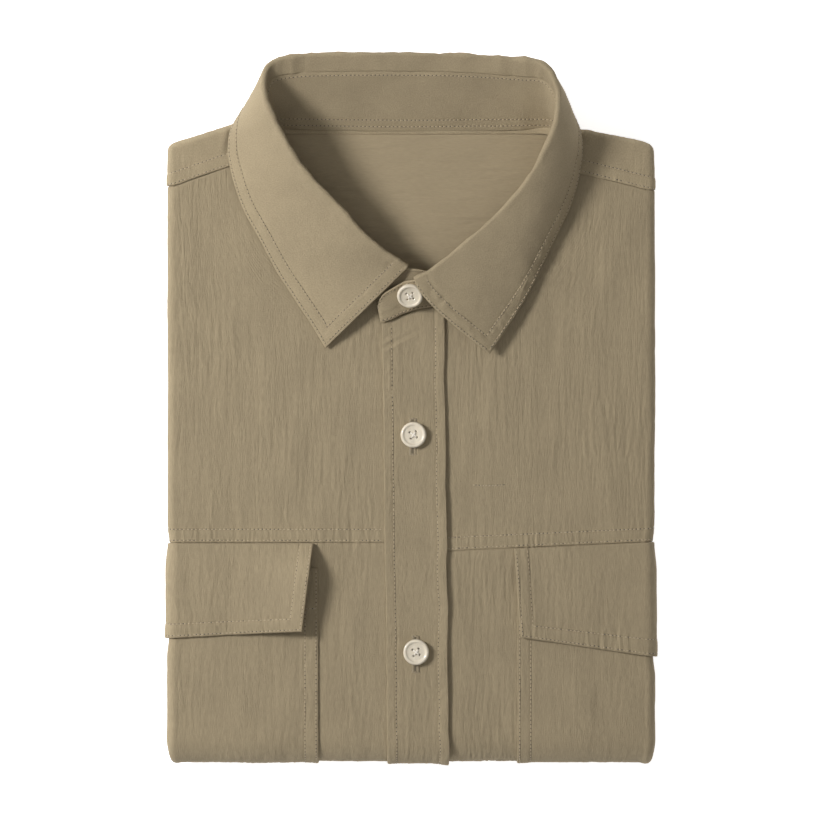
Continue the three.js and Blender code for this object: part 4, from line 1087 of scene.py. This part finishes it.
def collar_sections(t, strip_share, roll_share, fall_share):
    """Sections of the collar at table positions t: up the strip, over the roll, down the fall."""
    row = catmull(COLLAR, t)
    seam, crest, edge, strip, bulge = row[:, :3], row[:, 3:6], row[:, 6:9], row[:, 9:10], row[:, 10:11]
    line = unit(table_change(COLLAR, t, 0.3)[:, 3:6])
    chord = edge - crest
    up = unit(crest - seam)
    side = unit(np.cross(chord, up))
    outward = unit(np.cross(side, chord))
    down = unit(lerp(crest, edge, 0.5) + outward * bulge - crest)
    for _ in range(3):
        bend = up - down
        bend = unit(bend - dot(bend, line) * line)
        out = np.cross(line, bend)
        centre = crest - bend * ROLL_RADIUS
        start = np.arctan2(-dot(up, bend), dot(up, out))
        end = np.arctan2(-dot(down, bend), dot(down, out))
        first = centre + ROLL_RADIUS * (bend * np.cos(start) + out * np.sin(start))
        up = unit(first - seam)
    join = first - up * strip
    points = [lerp(join, first, k) for k in strip_share]
    for k in roll_share:
        angle = lerp(start, end, k)
        points.append(centre + ROLL_RADIUS * (bend * np.cos(angle) + out * np.sin(angle)))
    last = points[-1]
    control = last + down * np.linalg.norm(edge - last, axis=-1, keepdims=True) / 2
    level = unit((edge - last) * (1, 1, 0))
    forward = np.stack([level[:, 1], -level[:, 0], np.zeros(len(level))], axis=1)
    bow = FRONT_BOW * smooth(1 - t / 4)[:, None]
    for k in fall_share:
        on_fall = (1 - k) ** 2 * last + 2 * k * (1 - k) * control + k * k * edge
        points.append(on_fall + forward * bow * math.sin(math.pi * k ** 0.6))
    return np.stack(points, axis=1), seam, join, up


def collar_hint(points):
    """Outer side of the collar: to the neck on the strip, up at the roll, out on the fall."""
    along = np.gradient(points, axis=0)
    across = np.gradient(points, axis=1)
    return unit(np.cross(across, along))


COLLAR_RIM = [0.012, 0.04, LAST_ROW - 0.04, LAST_ROW - 0.012]
COLLAR_T = np.unique(np.concatenate([np.linspace(0, LAST_ROW, LAST_ROW * 11 + 1), COLLAR_RIM]))
STRIP_SHARE = np.array([0, 0.04, 0.12, 0.4, 0.7])
ROLL_SHARE = np.linspace(0, 1, 15)
CREST_COLUMN = len(STRIP_SHARE) + len(ROLL_SHARE) // 2
FALL_SHARE = np.concatenate([np.linspace(0, 1, 52)[1:-1], [0.99, 0.997, 1.0]])


COLLAR_STITCH = 1.3


def front_travel(points):
    """How far each point lies from the first front edge, square to the sections."""
    across = unit(np.gradient(points, axis=1))
    along = np.gradient(points, axis=0)
    square = along - dot(along, across) * across
    return np.cumsum(np.linalg.norm(square, axis=-1), axis=0)


def leaf_distances(points):
    """Distance of each point from the collar's outer edge and from its two front edges."""
    total = front_travel(points)
    return border_distance(points)[1], np.minimum(total - total[:1], total[-1:] - total)


# Small folds across the back of the collar: place, width and height
BACK_FOLDS = [
    (-58, 1.3, 0.5), (-52, 1.6, -0.35), (-47, 1.0, 0.35), (-33, 1.4, 0.3), (-12, 1.8, -0.2), (-1, 1.2, 0.45),
    (9, 1.5, -0.25), (25, 1.6, 0.3), (43, 1.2, 0.4), (49, 1.5, -0.3), (56, 1.4, 0.35),
]


def collar_relief(points):
    to_edge, to_front = leaf_distances(points)
    edge = np.minimum(to_edge, to_front)
    x, y = points[..., 0], points[..., 1]
    ridge = 0.24 * smooth((STITCH_FAR + 0.7 - edge) / 1.3)
    furrows = 0.15 * bump(edge - COLLAR_STITCH, 0.5) + 0.2 * bump(edge - STITCH_FAR, 0.7)
    undulate = 0.3 * noise(x / 21, y / 21, 90) + 0.05 * noise(x / 2.2, y / 2.2, 91)
    gather = 0.2 + 0.16 * smooth(x / 10)
    puckers = gather * noise((x + y) / 1.9, (x - y) / 3.2, 92) * bump(edge - 4.5, 4)
    cloth = 0.05 * noise(x / 0.9, y / 2.6, 93) + 0.05 * noise(x / 2.6, y / 0.9, 94)
    cloth = cloth + 0.1 * noise(x / 6, y / 5, 98)
    roll = bump(to_edge - to_edge[:, CREST_COLUMN:CREST_COLUMN + 1], 5)
    wobble = roll * (0.35 * noise(x / 7, y / 7, 95) + 0.15 * noise(x / 2.6, y / 2.6, 96))
    back = smooth((y - 152) / 8)
    folds = sum(h * bump(x - at + 0.12 * (y - 165), w) for at, w, h in BACK_FOLDS)
    strip = back * (folds + 0.14 * noise(x / 1.7, y / 9, 97))
    return ridge - furrows + puckers + undulate + cloth + wobble + strip


def collar():
    points = collar_sections(COLLAR_T, STRIP_SHARE, ROLL_SHARE, FALL_SHARE)[0]
    normal = collar_hint(points)
    relief = collar_relief(points)
    middle = points + normal * (relief - COLLAR_CLOTH / 2)[..., None]
    along = np.broadcast_to(lengths_along(points[:, 20])[:, None], points.shape[:2])
    across = border_distance(points)[0]
    cloth_piece("collar", "smooth_cloth", middle, normal, COLLAR_CLOTH, along, across)
    outer = points + normal * relief[..., None]
    for distance in (COLLAR_STITCH, STITCH_FAR):
        stitch_leaf(outer, normal, points, distance)


def stitch_leaf(outer, normal, points, distance):
    """One row round the collar: down a front edge, along the outer edge and up the other front."""
    to_edge = border_distance(points)[1]
    total = front_travel(points)
    first_column = len(STRIP_SHARE) + len(ROLL_SHARE)

    def front(order):
        """The row beside one front edge; order turns the sections so that this edge comes first."""
        depth = np.abs(total - total[order][:1])[order]
        columns = [j for j in range(first_column, points.shape[1]) if to_edge[order][0, j] >= distance]
        return [[point_at(distance, depth[:, j], values[order][:, j]) for j in columns]
                for values in (outer, normal)]

    for order in (slice(None), slice(None, None, -1)):
        collar_stitches.row(*front(order))
    rows = [i for i in range(len(points))
            if min(total[i, -12], total[-1, -12] - total[i, -12]) > distance]
    path, facing = ([point_at(-distance, -to_edge[i], values[i]) for i in rows] for values in (outer, normal))
    collar_stitches.row(path, facing)


# Rows of stitches beside the stand's neck seam
SEAM_ROWS = (2.7, 6.2)


def stand():
    t = np.linspace(0, LAST_ROW, LAST_ROW * 9 + 1)
    _, seam, join, up = collar_sections(t, [0], [0, 1], [1.0])
    top = join + up * 0.9
    at_corner = smooth((np.abs(seam[:, :1]) - 54) / 8) * smooth((seam[:, 1:2] - 112) / 6)
    sunk = 1.2 * smooth((seam[:, 1:2] - 130) / 5) + 1.2 * at_corner
    seam = seam - np.array([0, 0, 1.0]) * sunk
    first_row, last_row = (np.concatenate([seam[end], top[end]])[None] for end in (0, -1))
    lead = catmull(np.concatenate([BUTTON_END, first_row]), np.linspace(0, 4, 41)[:-1])
    tail = catmull(np.concatenate([last_row, UNDER_END]), np.linspace(0, 2, 15)[1:])
    settle = np.array([0, 0, 0.85]) * np.linspace(1, 0, len(lead))[:, None]
    low = np.concatenate([lead[:, :3] - settle, seam, tail[:, :3]])
    high = np.concatenate([lead[:, 3:] - settle, top, tail[:, 3:]])
    share = np.concatenate([[0, 0.006, 0.02], np.linspace(0.05, 0.95, 26), [0.98, 0.994, 1]])
    points = lerp(low[:, None], high[:, None], share[None, :, None])
    normal = -collar_hint(points)
    x, y, z = points[..., 0], points[..., 1], points[..., 2]
    from_seam, from_top = border_distance(points)[:2]
    seam_rows = 0.15 * bump(from_seam - SEAM_ROWS[0], 0.5) + 0.15 * bump(from_seam - SEAM_ROWS[1], 0.6)
    relief = 0.25 * noise(x / 16, (y + z) / 16, 95) + 0.05 * noise(x / 2.2, (y + z) / 2.2, 96) + seam_rows
    behind = 0.55 * smooth((1.6 - from_top) / 0.8) * (np.abs(z - 26) > 2.5)
    middle = points + normal * (relief + behind + COLLAR_CLOTH / 2)[..., None]
    cloth_piece("collar_stand", "smooth_cloth", middle, normal, COLLAR_CLOTH, x, y + z)
    stitch_stand(points, points + normal * relief[..., None], normal, from_seam, from_top)


def stitch_stand(points, inner, normal, from_seam, from_top):
    """Rows on the stand's inside along the neck seam and the top, and on the button end's outside."""
    def row(distance_of, distance, keep, face, facing):
        path, turned = [], []
        for i in [i for i in range(len(points)) if keep(points[i, 0])]:
            order = np.argsort(distance_of[i])
            places = distance_of[i][order]
            path.append(point_at(distance, places, face[i][order]))
            turned.append(point_at(distance, places, facing[i][order]))
        collar_stitches.row(path, turned)

    def back(p):
        return p[1] > 118

    for distance in SEAM_ROWS:
        row(from_seam, distance, back, inner, -normal)
    row(from_top, 2.6, back, inner, -normal)
    outer = inner + normal * COLLAR_CLOTH
    row(from_seam, 1.4, lambda p: p[0] < 14 and p[1] < 51, outer, normal)
    row(from_top, 1.6, lambda p: p[0] < 0 and p[1] < 49, outer, normal)


# The hidden layers: the same fold with finely layered edges


# How far the hidden layers lie inside the front's cloth, and how far each layer's edge is set back
LAYER_INSET = 1.6
LAYER_SHIFTS = (0.0, 1.3, 0.4, 1.8)


def layer_profile(width):
    """Right half of the section, top to bottom, as x and height above the middle."""
    flat = width - SIDE_RADIUS
    packet = SIDE_RADIUS - LAYER_INSET
    low, high = 0.4, LAYER - GAP
    points = [(flat * k / 6, MID - LAYER_INSET) for k in range(6)]
    for a in np.linspace(0, math.pi, 9):
        points.append((flat + packet * math.sin(a), MID - SIDE_RADIUS + packet * math.cos(a)))
    points += [(flat - TUCK - 1, MID - SIDE_RADIUS - packet), (flat - TUCK - 1, high)]
    depth = (high - low) / len(LAYER_SHIFTS)
    for k, shift in enumerate(LAYER_SHIFTS):
        middle = high - k * depth - depth / 2
        for a in np.linspace(0.12, math.pi - 0.12, 7):
            points.append((width - 3.0 - shift + depth / 2 * math.sin(a), middle + depth / 2 * math.cos(a)))
    points.append((flat / 2, low))
    return np.array(points)


# End of the hidden layers at the back: it falls from the shoulder to the corner
CORE_END = dict(shoulder=(85.0, 137.3), corner=(118.0, 126.7), inset=3.8, round_from=108,
                neck=2.6, neck_edge=84)


def core_end(x):
    """Where the hidden layers end at a distance x from the middle."""
    (shoulder_x, shoulder_y), (corner_x, corner_y) = CORE_END["shoulder"], CORE_END["corner"]
    fall = (shoulder_y - corner_y) / (corner_x - shoulder_x)
    past = np.maximum(0, np.abs(x) - shoulder_x)
    corner = np.maximum(0, np.abs(x) - CORE_END["round_from"]) * 0.5
    below_neck = CORE_END["neck"] * smooth((CORE_END["neck_edge"] - np.abs(x)) / 8)
    return shoulder_y - CORE_END["inset"] + below_neck - past * fall - corner


def folded_layers():
    back = CORE_END["shoulder"][1]
    stations = np.concatenate([np.linspace(back, FOLD_Y, 60), np.linspace(FOLD_Y, FOLD_Y - FOLD_ARC, 30)[1:],
                               np.linspace(FOLD_Y - FOLD_ARC, HEM_S + 0.3, 40)[1:]])
    rings = []
    for s in stations:
        width = min(float(half_width(np.array(s))), HALF_WIDTH - POCKET_RELIEF - GAP)
        half = layer_profile(width)
        full = np.concatenate([half, (half * (-1, 1))[::-1]])
        x, h = full[:, 0], full[:, 1]
        along = np.full(len(x), s)
        if s >= FOLD_Y:
            along = lerp(FOLD_Y, core_end(x), (s - FOLD_Y) / (back - FOLD_Y))
        wobble = 0.35 * noise(along / 17, h * 1.3, 99) * (np.abs(x) > 100)
        x = x - np.sign(x) * np.abs(wobble)
        rings.append(place(x, h, along))
    rings = np.array(rings)
    rows, cols = rings.shape[:2]
    neck = (rings[..., 1] > 55) & (rings[..., 2] > 17.5) & (np.abs(rings[..., 0]) < neck_half(rings[..., 1]))
    floor = body_top(0, rings[..., 1]) - 2 * SIDE_RADIUS - 0.25
    rings[..., 2] = np.where(neck, np.minimum(rings[..., 2], floor), rings[..., 2])
    index = np.arange(rows * cols).reshape(rows, cols)
    ahead = np.roll(index, -1, axis=1)
    quads = np.stack([index[:-1], ahead[:-1], ahead[1:], index[1:]], axis=-1).reshape(-1, 4)
    vertices = rings.reshape(-1, 3)
    obj = mesh_object("folded_layers_cloth", vertices, quads, vertices[:, :2] * 0.01)
    cap_ends(obj, [index[0], index[-1]])
    obj.data.materials.append(CLOTH)
    finish_piece(obj, "cloth", "folded_layers")


# Half width of the neck's opening at heights up the shirt
NECK_Y = [54, 60, 70, 80, 92, 106, 118, 140]
NECK_X = [8, 26, 44, 56, 65, 73, 76, 78]


def neck_half(y):
    return np.interp(y, NECK_Y, NECK_X)


def cap_ends(obj, loops):
    bm = bmesh.new()
    bm.from_mesh(obj.data)
    bm.verts.ensure_lookup_table()
    for loop in loops:
        cap = bm.faces.new([bm.verts[int(i)] for i in loop])
        bmesh.ops.triangulate(bm, faces=[cap], ngon_method="EAR_CLIP")
    bmesh.ops.recalc_face_normals(bm, faces=bm.faces)
    bm.to_mesh(obj.data)
    bm.free()


# Buttons


# Radius and height of the turned outline, the holes and the thread that crosses them
BUTTON_PROFILE = [(5.2, 0.0), (5.9, 0.18), (6.25, 0.6), (6.35, 1.1), (6.3, 1.65), (6.05, 2.1), (5.7, 2.33),
                  (5.35, 2.4), (5.0, 2.34), (4.75, 2.15), (4.5, 1.98), (4.1, 1.9), (3.0, 1.84), (1.5, 1.82)]
BUTTON_SEGMENTS = 64
BUTTON_TURN = math.radians(10)
BUTTON_HOLE, HOLE_PLACE = 0.55, 1.4
THREAD_BASE, THREAD_RISE = 1.0, 1.15


def button_body(name):
    """The turned outline, closed by a flat face at each end."""
    bm = bmesh.new()
    angles = [2 * math.pi * k / BUTTON_SEGMENTS for k in range(BUTTON_SEGMENTS)]
    rings = [[bm.verts.new((r * math.cos(a), r * math.sin(a), z)) for a in angles] for r, z in BUTTON_PROFILE]
    for a, b in zip(rings, rings[1:]):
        for k in range(BUTTON_SEGMENTS):
            m = (k + 1) % BUTTON_SEGMENTS
            bm.faces.new((a[k], a[m], b[m], b[k]))
    bm.faces.new(list(reversed(rings[0])))
    bm.faces.new(rings[-1])
    mesh = bpy.data.meshes.new(name)
    bm.to_mesh(mesh)
    bm.free()
    return add_object(name, mesh)


def cut_holes(body):
    bm = bmesh.new()
    for sx in (-1, 1):
        for sy in (-1, 1):
            made = bmesh.ops.create_cone(bm, cap_ends=True, segments=24, radius1=BUTTON_HOLE,
                                         radius2=BUTTON_HOLE, depth=8)
            bmesh.ops.translate(bm, verts=made["verts"], vec=(sx * HOLE_PLACE, sy * HOLE_PLACE, 0))
    cutter_mesh = bpy.data.meshes.new("cutter")
    bm.to_mesh(cutter_mesh)
    bm.free()
    cutter = add_object("cutter", cutter_mesh)
    boolean = body.modifiers.new("holes", "BOOLEAN")
    boolean.operation, boolean.object, boolean.solver = "DIFFERENCE", cutter, "EXACT"
    graph = bpy.context.evaluated_depsgraph_get()
    finished = bpy.data.meshes.new_from_object(body.evaluated_get(graph))
    body.modifiers.clear()
    body.data = finished
    bpy.data.objects.remove(cutter)


def button_threads():
    """Three threads across each diagonal of the holes, arched over the face."""
    share = np.linspace(0, 1, 13)[:, None]
    arches = []
    for sy in (1, -1):
        corner = np.array([HOLE_PLACE, sy * HOLE_PLACE, 0.0])
        for side in (-0.16, 0.0, 0.16):
            beside = side * np.array([sy, -1, 0]) * 0.9
            arch = lerp(beside - corner, beside + corner, share)
            arch[:, 2] = THREAD_BASE + THREAD_RISE * np.clip(np.sin(share[:, 0] * math.pi) * 2.2, 0, 1)
            arches.append(arch)
    return arches


def button(name, node, centre, normal):
    """A turned shell button: raised rim, dished face, four holes and crossed thread."""
    body = button_body(name)
    cut_holes(body)
    c, s = math.cos(BUTTON_TURN), math.sin(BUTTON_TURN)
    rotate = frame_of(normal) @ np.array([(c, -s, 0), (s, c, 0), (0, 0, 1)])
    place_mesh(body.data, rotate, centre)
    for polygon in body.data.polygons:
        polygon.use_smooth = True
    body.data.materials.clear()
    body.data.materials.append(BUTTON)
    finish_piece(body, "button", node)
    shank = [np.array([(x, y, -1.0), (x, y, 0.4)]) for x in (-0.5, 0.5) for y in (-0.5, 0.5)]
    for part, paths, radius in (("_thread", button_threads(), 0.2), ("_shank", shank, 0.35)):
        tube_set(name + part, [path @ rotate.T + centre for path in paths], radius, WHITE_THREAD, "button")


def frame_of(normal):
    """Columns x, y, z with z along the normal and x level."""
    z = unit(np.asarray(normal, float))
    y = unit(np.array([0.0, 1.0, 0.0]) - z[1] * z)
    return np.stack([np.cross(y, z), y, z], axis=1)


def place_mesh(mesh, rotate, centre):
    count = len(mesh.vertices)
    co = np.empty(count * 3, np.float32)
    mesh.vertices.foreach_get("co", co)
    moved = (co.reshape(-1, 3) @ rotate.T + centre) * MM
    mesh.vertices.foreach_set("co", moved.astype(np.float32).ravel())
    mesh.update()


def tube_set(name, paths, radius, material, slot, sides=8):
    """One mesh of round threads along paths, closed at their ends."""
    vertices, faces = [], []
    for path in paths:
        path = np.asarray(path, float)
        along = unit(np.gradient(path, axis=0))
        ref = np.where(np.abs(along[:, 2:3]) < 0.9, np.array([[0, 0, 1.0]]), np.array([[1.0, 0, 0]]))
        a = unit(np.cross(along, ref))
        b = np.cross(along, a)
        base = sum(len(v) for v in vertices)
        angles = np.arange(sides) * 2 * math.pi / sides
        cos, sin = np.cos(angles)[None, :, None], np.sin(angles)[None, :, None]
        ring = path[:, None] + radius * (a[:, None] * cos + b[:, None] * sin)
        count = len(path)
        vertices.append(np.concatenate([ring.reshape(-1, 3), path[:1], path[-1:]]))
        first, last = base + count * sides, base + count * sides + 1
        for i in range(count - 1):
            for k in range(sides):
                p, q = base + i * sides + k, base + i * sides + (k + 1) % sides
                faces += [(p, q, q + sides), (p, q + sides, p + sides)]
        end = base + (count - 1) * sides
        for k in range(sides):
            m = (k + 1) % sides
            faces += [(base + m, base + k, first), (end + k, end + m, last)]
    obj = mesh_object(name, np.concatenate(vertices), np.array(faces))
    obj.data.materials.append(material)
    finish_piece(obj, slot)


# Build everything
for part_side in ("right", "left"):
    front_upper(part_side)
    front_lower(part_side)
    chest_stitches(part_side)
    pocket(part_side)
    flap(part_side)
placket()
placket_buttonhole(1.0, -5.1, -22.6)
placket_buttonhole(2.3, -111.6, -129.2)
bar_tack()
yoke()
yoke_lining()
collar()
stand()
folded_layers()

for button_name, button_x, button_y in (("button_1", 1.2, -12.9), ("button_2", 2.5, -119.3)):
    on = surface(button_x, button_y, PLACKET_CLOTH + 0.75)
    button(button_name + "_shell", button_name, on, (0, 0, 1))

body_stitches.build("stitches_body", "cloth")
collar_stitches.build("stitches_collar", "smooth_cloth")
bar_stitches.build("stitches_buttonholes", "cloth")
# Dark tubes along the buttonhole slits: painted shade
tube_set("buttonhole_slit_shade", slit_shade_paths, 0.2, NEEDLE_HOLE_SHADE, "cloth")

# Collar button: on the outside of the stand's button end, at this share between its last row and the collar
BUTTON_SHARE = 0.62
COLLAR_TOP = np.array([2.2, 64.6, 35.0])
low_box, high_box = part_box("button_collar")
stand_seam = lerp(BUTTON_END[-1, :3], COLLAR[0, :3], BUTTON_SHARE)
stand_top = lerp(BUTTON_END[-1, 3:], COLLAR_TOP, BUTTON_SHARE)
stand_normal = unit(np.cross(stand_top - stand_seam, np.array([-1.0, 0.0, 0.0])))
middle_box = (np.array(low_box) + np.array(high_box)) / 2 / MM
button("button_collar_shell", "button_collar", middle_box - 1.2 * stand_normal, stand_normal)


# Stage, light and camera


FLOOR_HALF, FLOOR_DROP = 2.2, 0.0003
WORLD_STRENGTH = 0.232


def floor():
    square = ((-1, -1), (1, -1), (1, 1), (-1, 1))
    mesh = bpy.data.meshes.new("floor")
    mesh.from_pydata([(x * FLOOR_HALF, y * FLOOR_HALF, -FLOOR_DROP) for x, y in square], [], [(0, 1, 2, 3)])
    n = Nodes("floor")
    n.set(n.shader, {"Base Color": (0.94, 0.94, 0.94, 1), "Roughness": 0.9})
    n.set(n.shader, {"Emission Color": (1, 1, 1, 1), "Emission Strength": 0.75})
    mesh.materials.append(n.material)
    add_object("floor", mesh)


def area_light(name, direction, distance, size, power):
    """A round light that shines at the shirt's middle from a distance in metres."""
    data = bpy.data.lights.new(name, "AREA")
    data.shape = "DISK"
    data.size = size
    data.energy = power
    obj = add_object(name, data)
    towards = unit(np.array(direction, float))
    sideways = unit(np.cross([0, 0, 1.0], towards))
    obj.location = towards * distance
    obj.rotation_euler = Matrix((sideways, np.cross(towards, sideways), towards)).transposed().to_euler()


floor()
area_light("key", (-0.96, 0.29, 0.84), 1.4, 0.38, 18.6)
area_light("fill", (0.15, -0.3, 1.6), 2.6, 2.4, 9.6)

world = bpy.data.worlds.new("studio")
bpy.context.scene.world = world
world.use_nodes = True
background = world.node_tree.nodes["Background"]
background.inputs["Color"].default_value = (1, 1, 1, 1)
background.inputs["Strength"].default_value = WORLD_STRENGTH

FRAME_PX = 826
MM_PER_PX = 0.49
LENS, SENSOR = 200.0, 36.0
CAMERA_X, CAMERA_Y = 0.98, -2.2
camera_data = bpy.data.cameras.new("camera")
camera_data.lens = LENS
camera_data.sensor_width = SENSOR
camera_data.sensor_fit = "HORIZONTAL"
camera_data.clip_end = 20
camera = add_object("camera", camera_data)
camera_height = STACK + FRAME_PX * MM_PER_PX * LENS / SENSOR
camera.location = (CAMERA_X * MM, CAMERA_Y * MM, camera_height * MM)
bpy.context.scene.camera = camera
bpy.context.scene.view_settings.view_transform = "Standard"
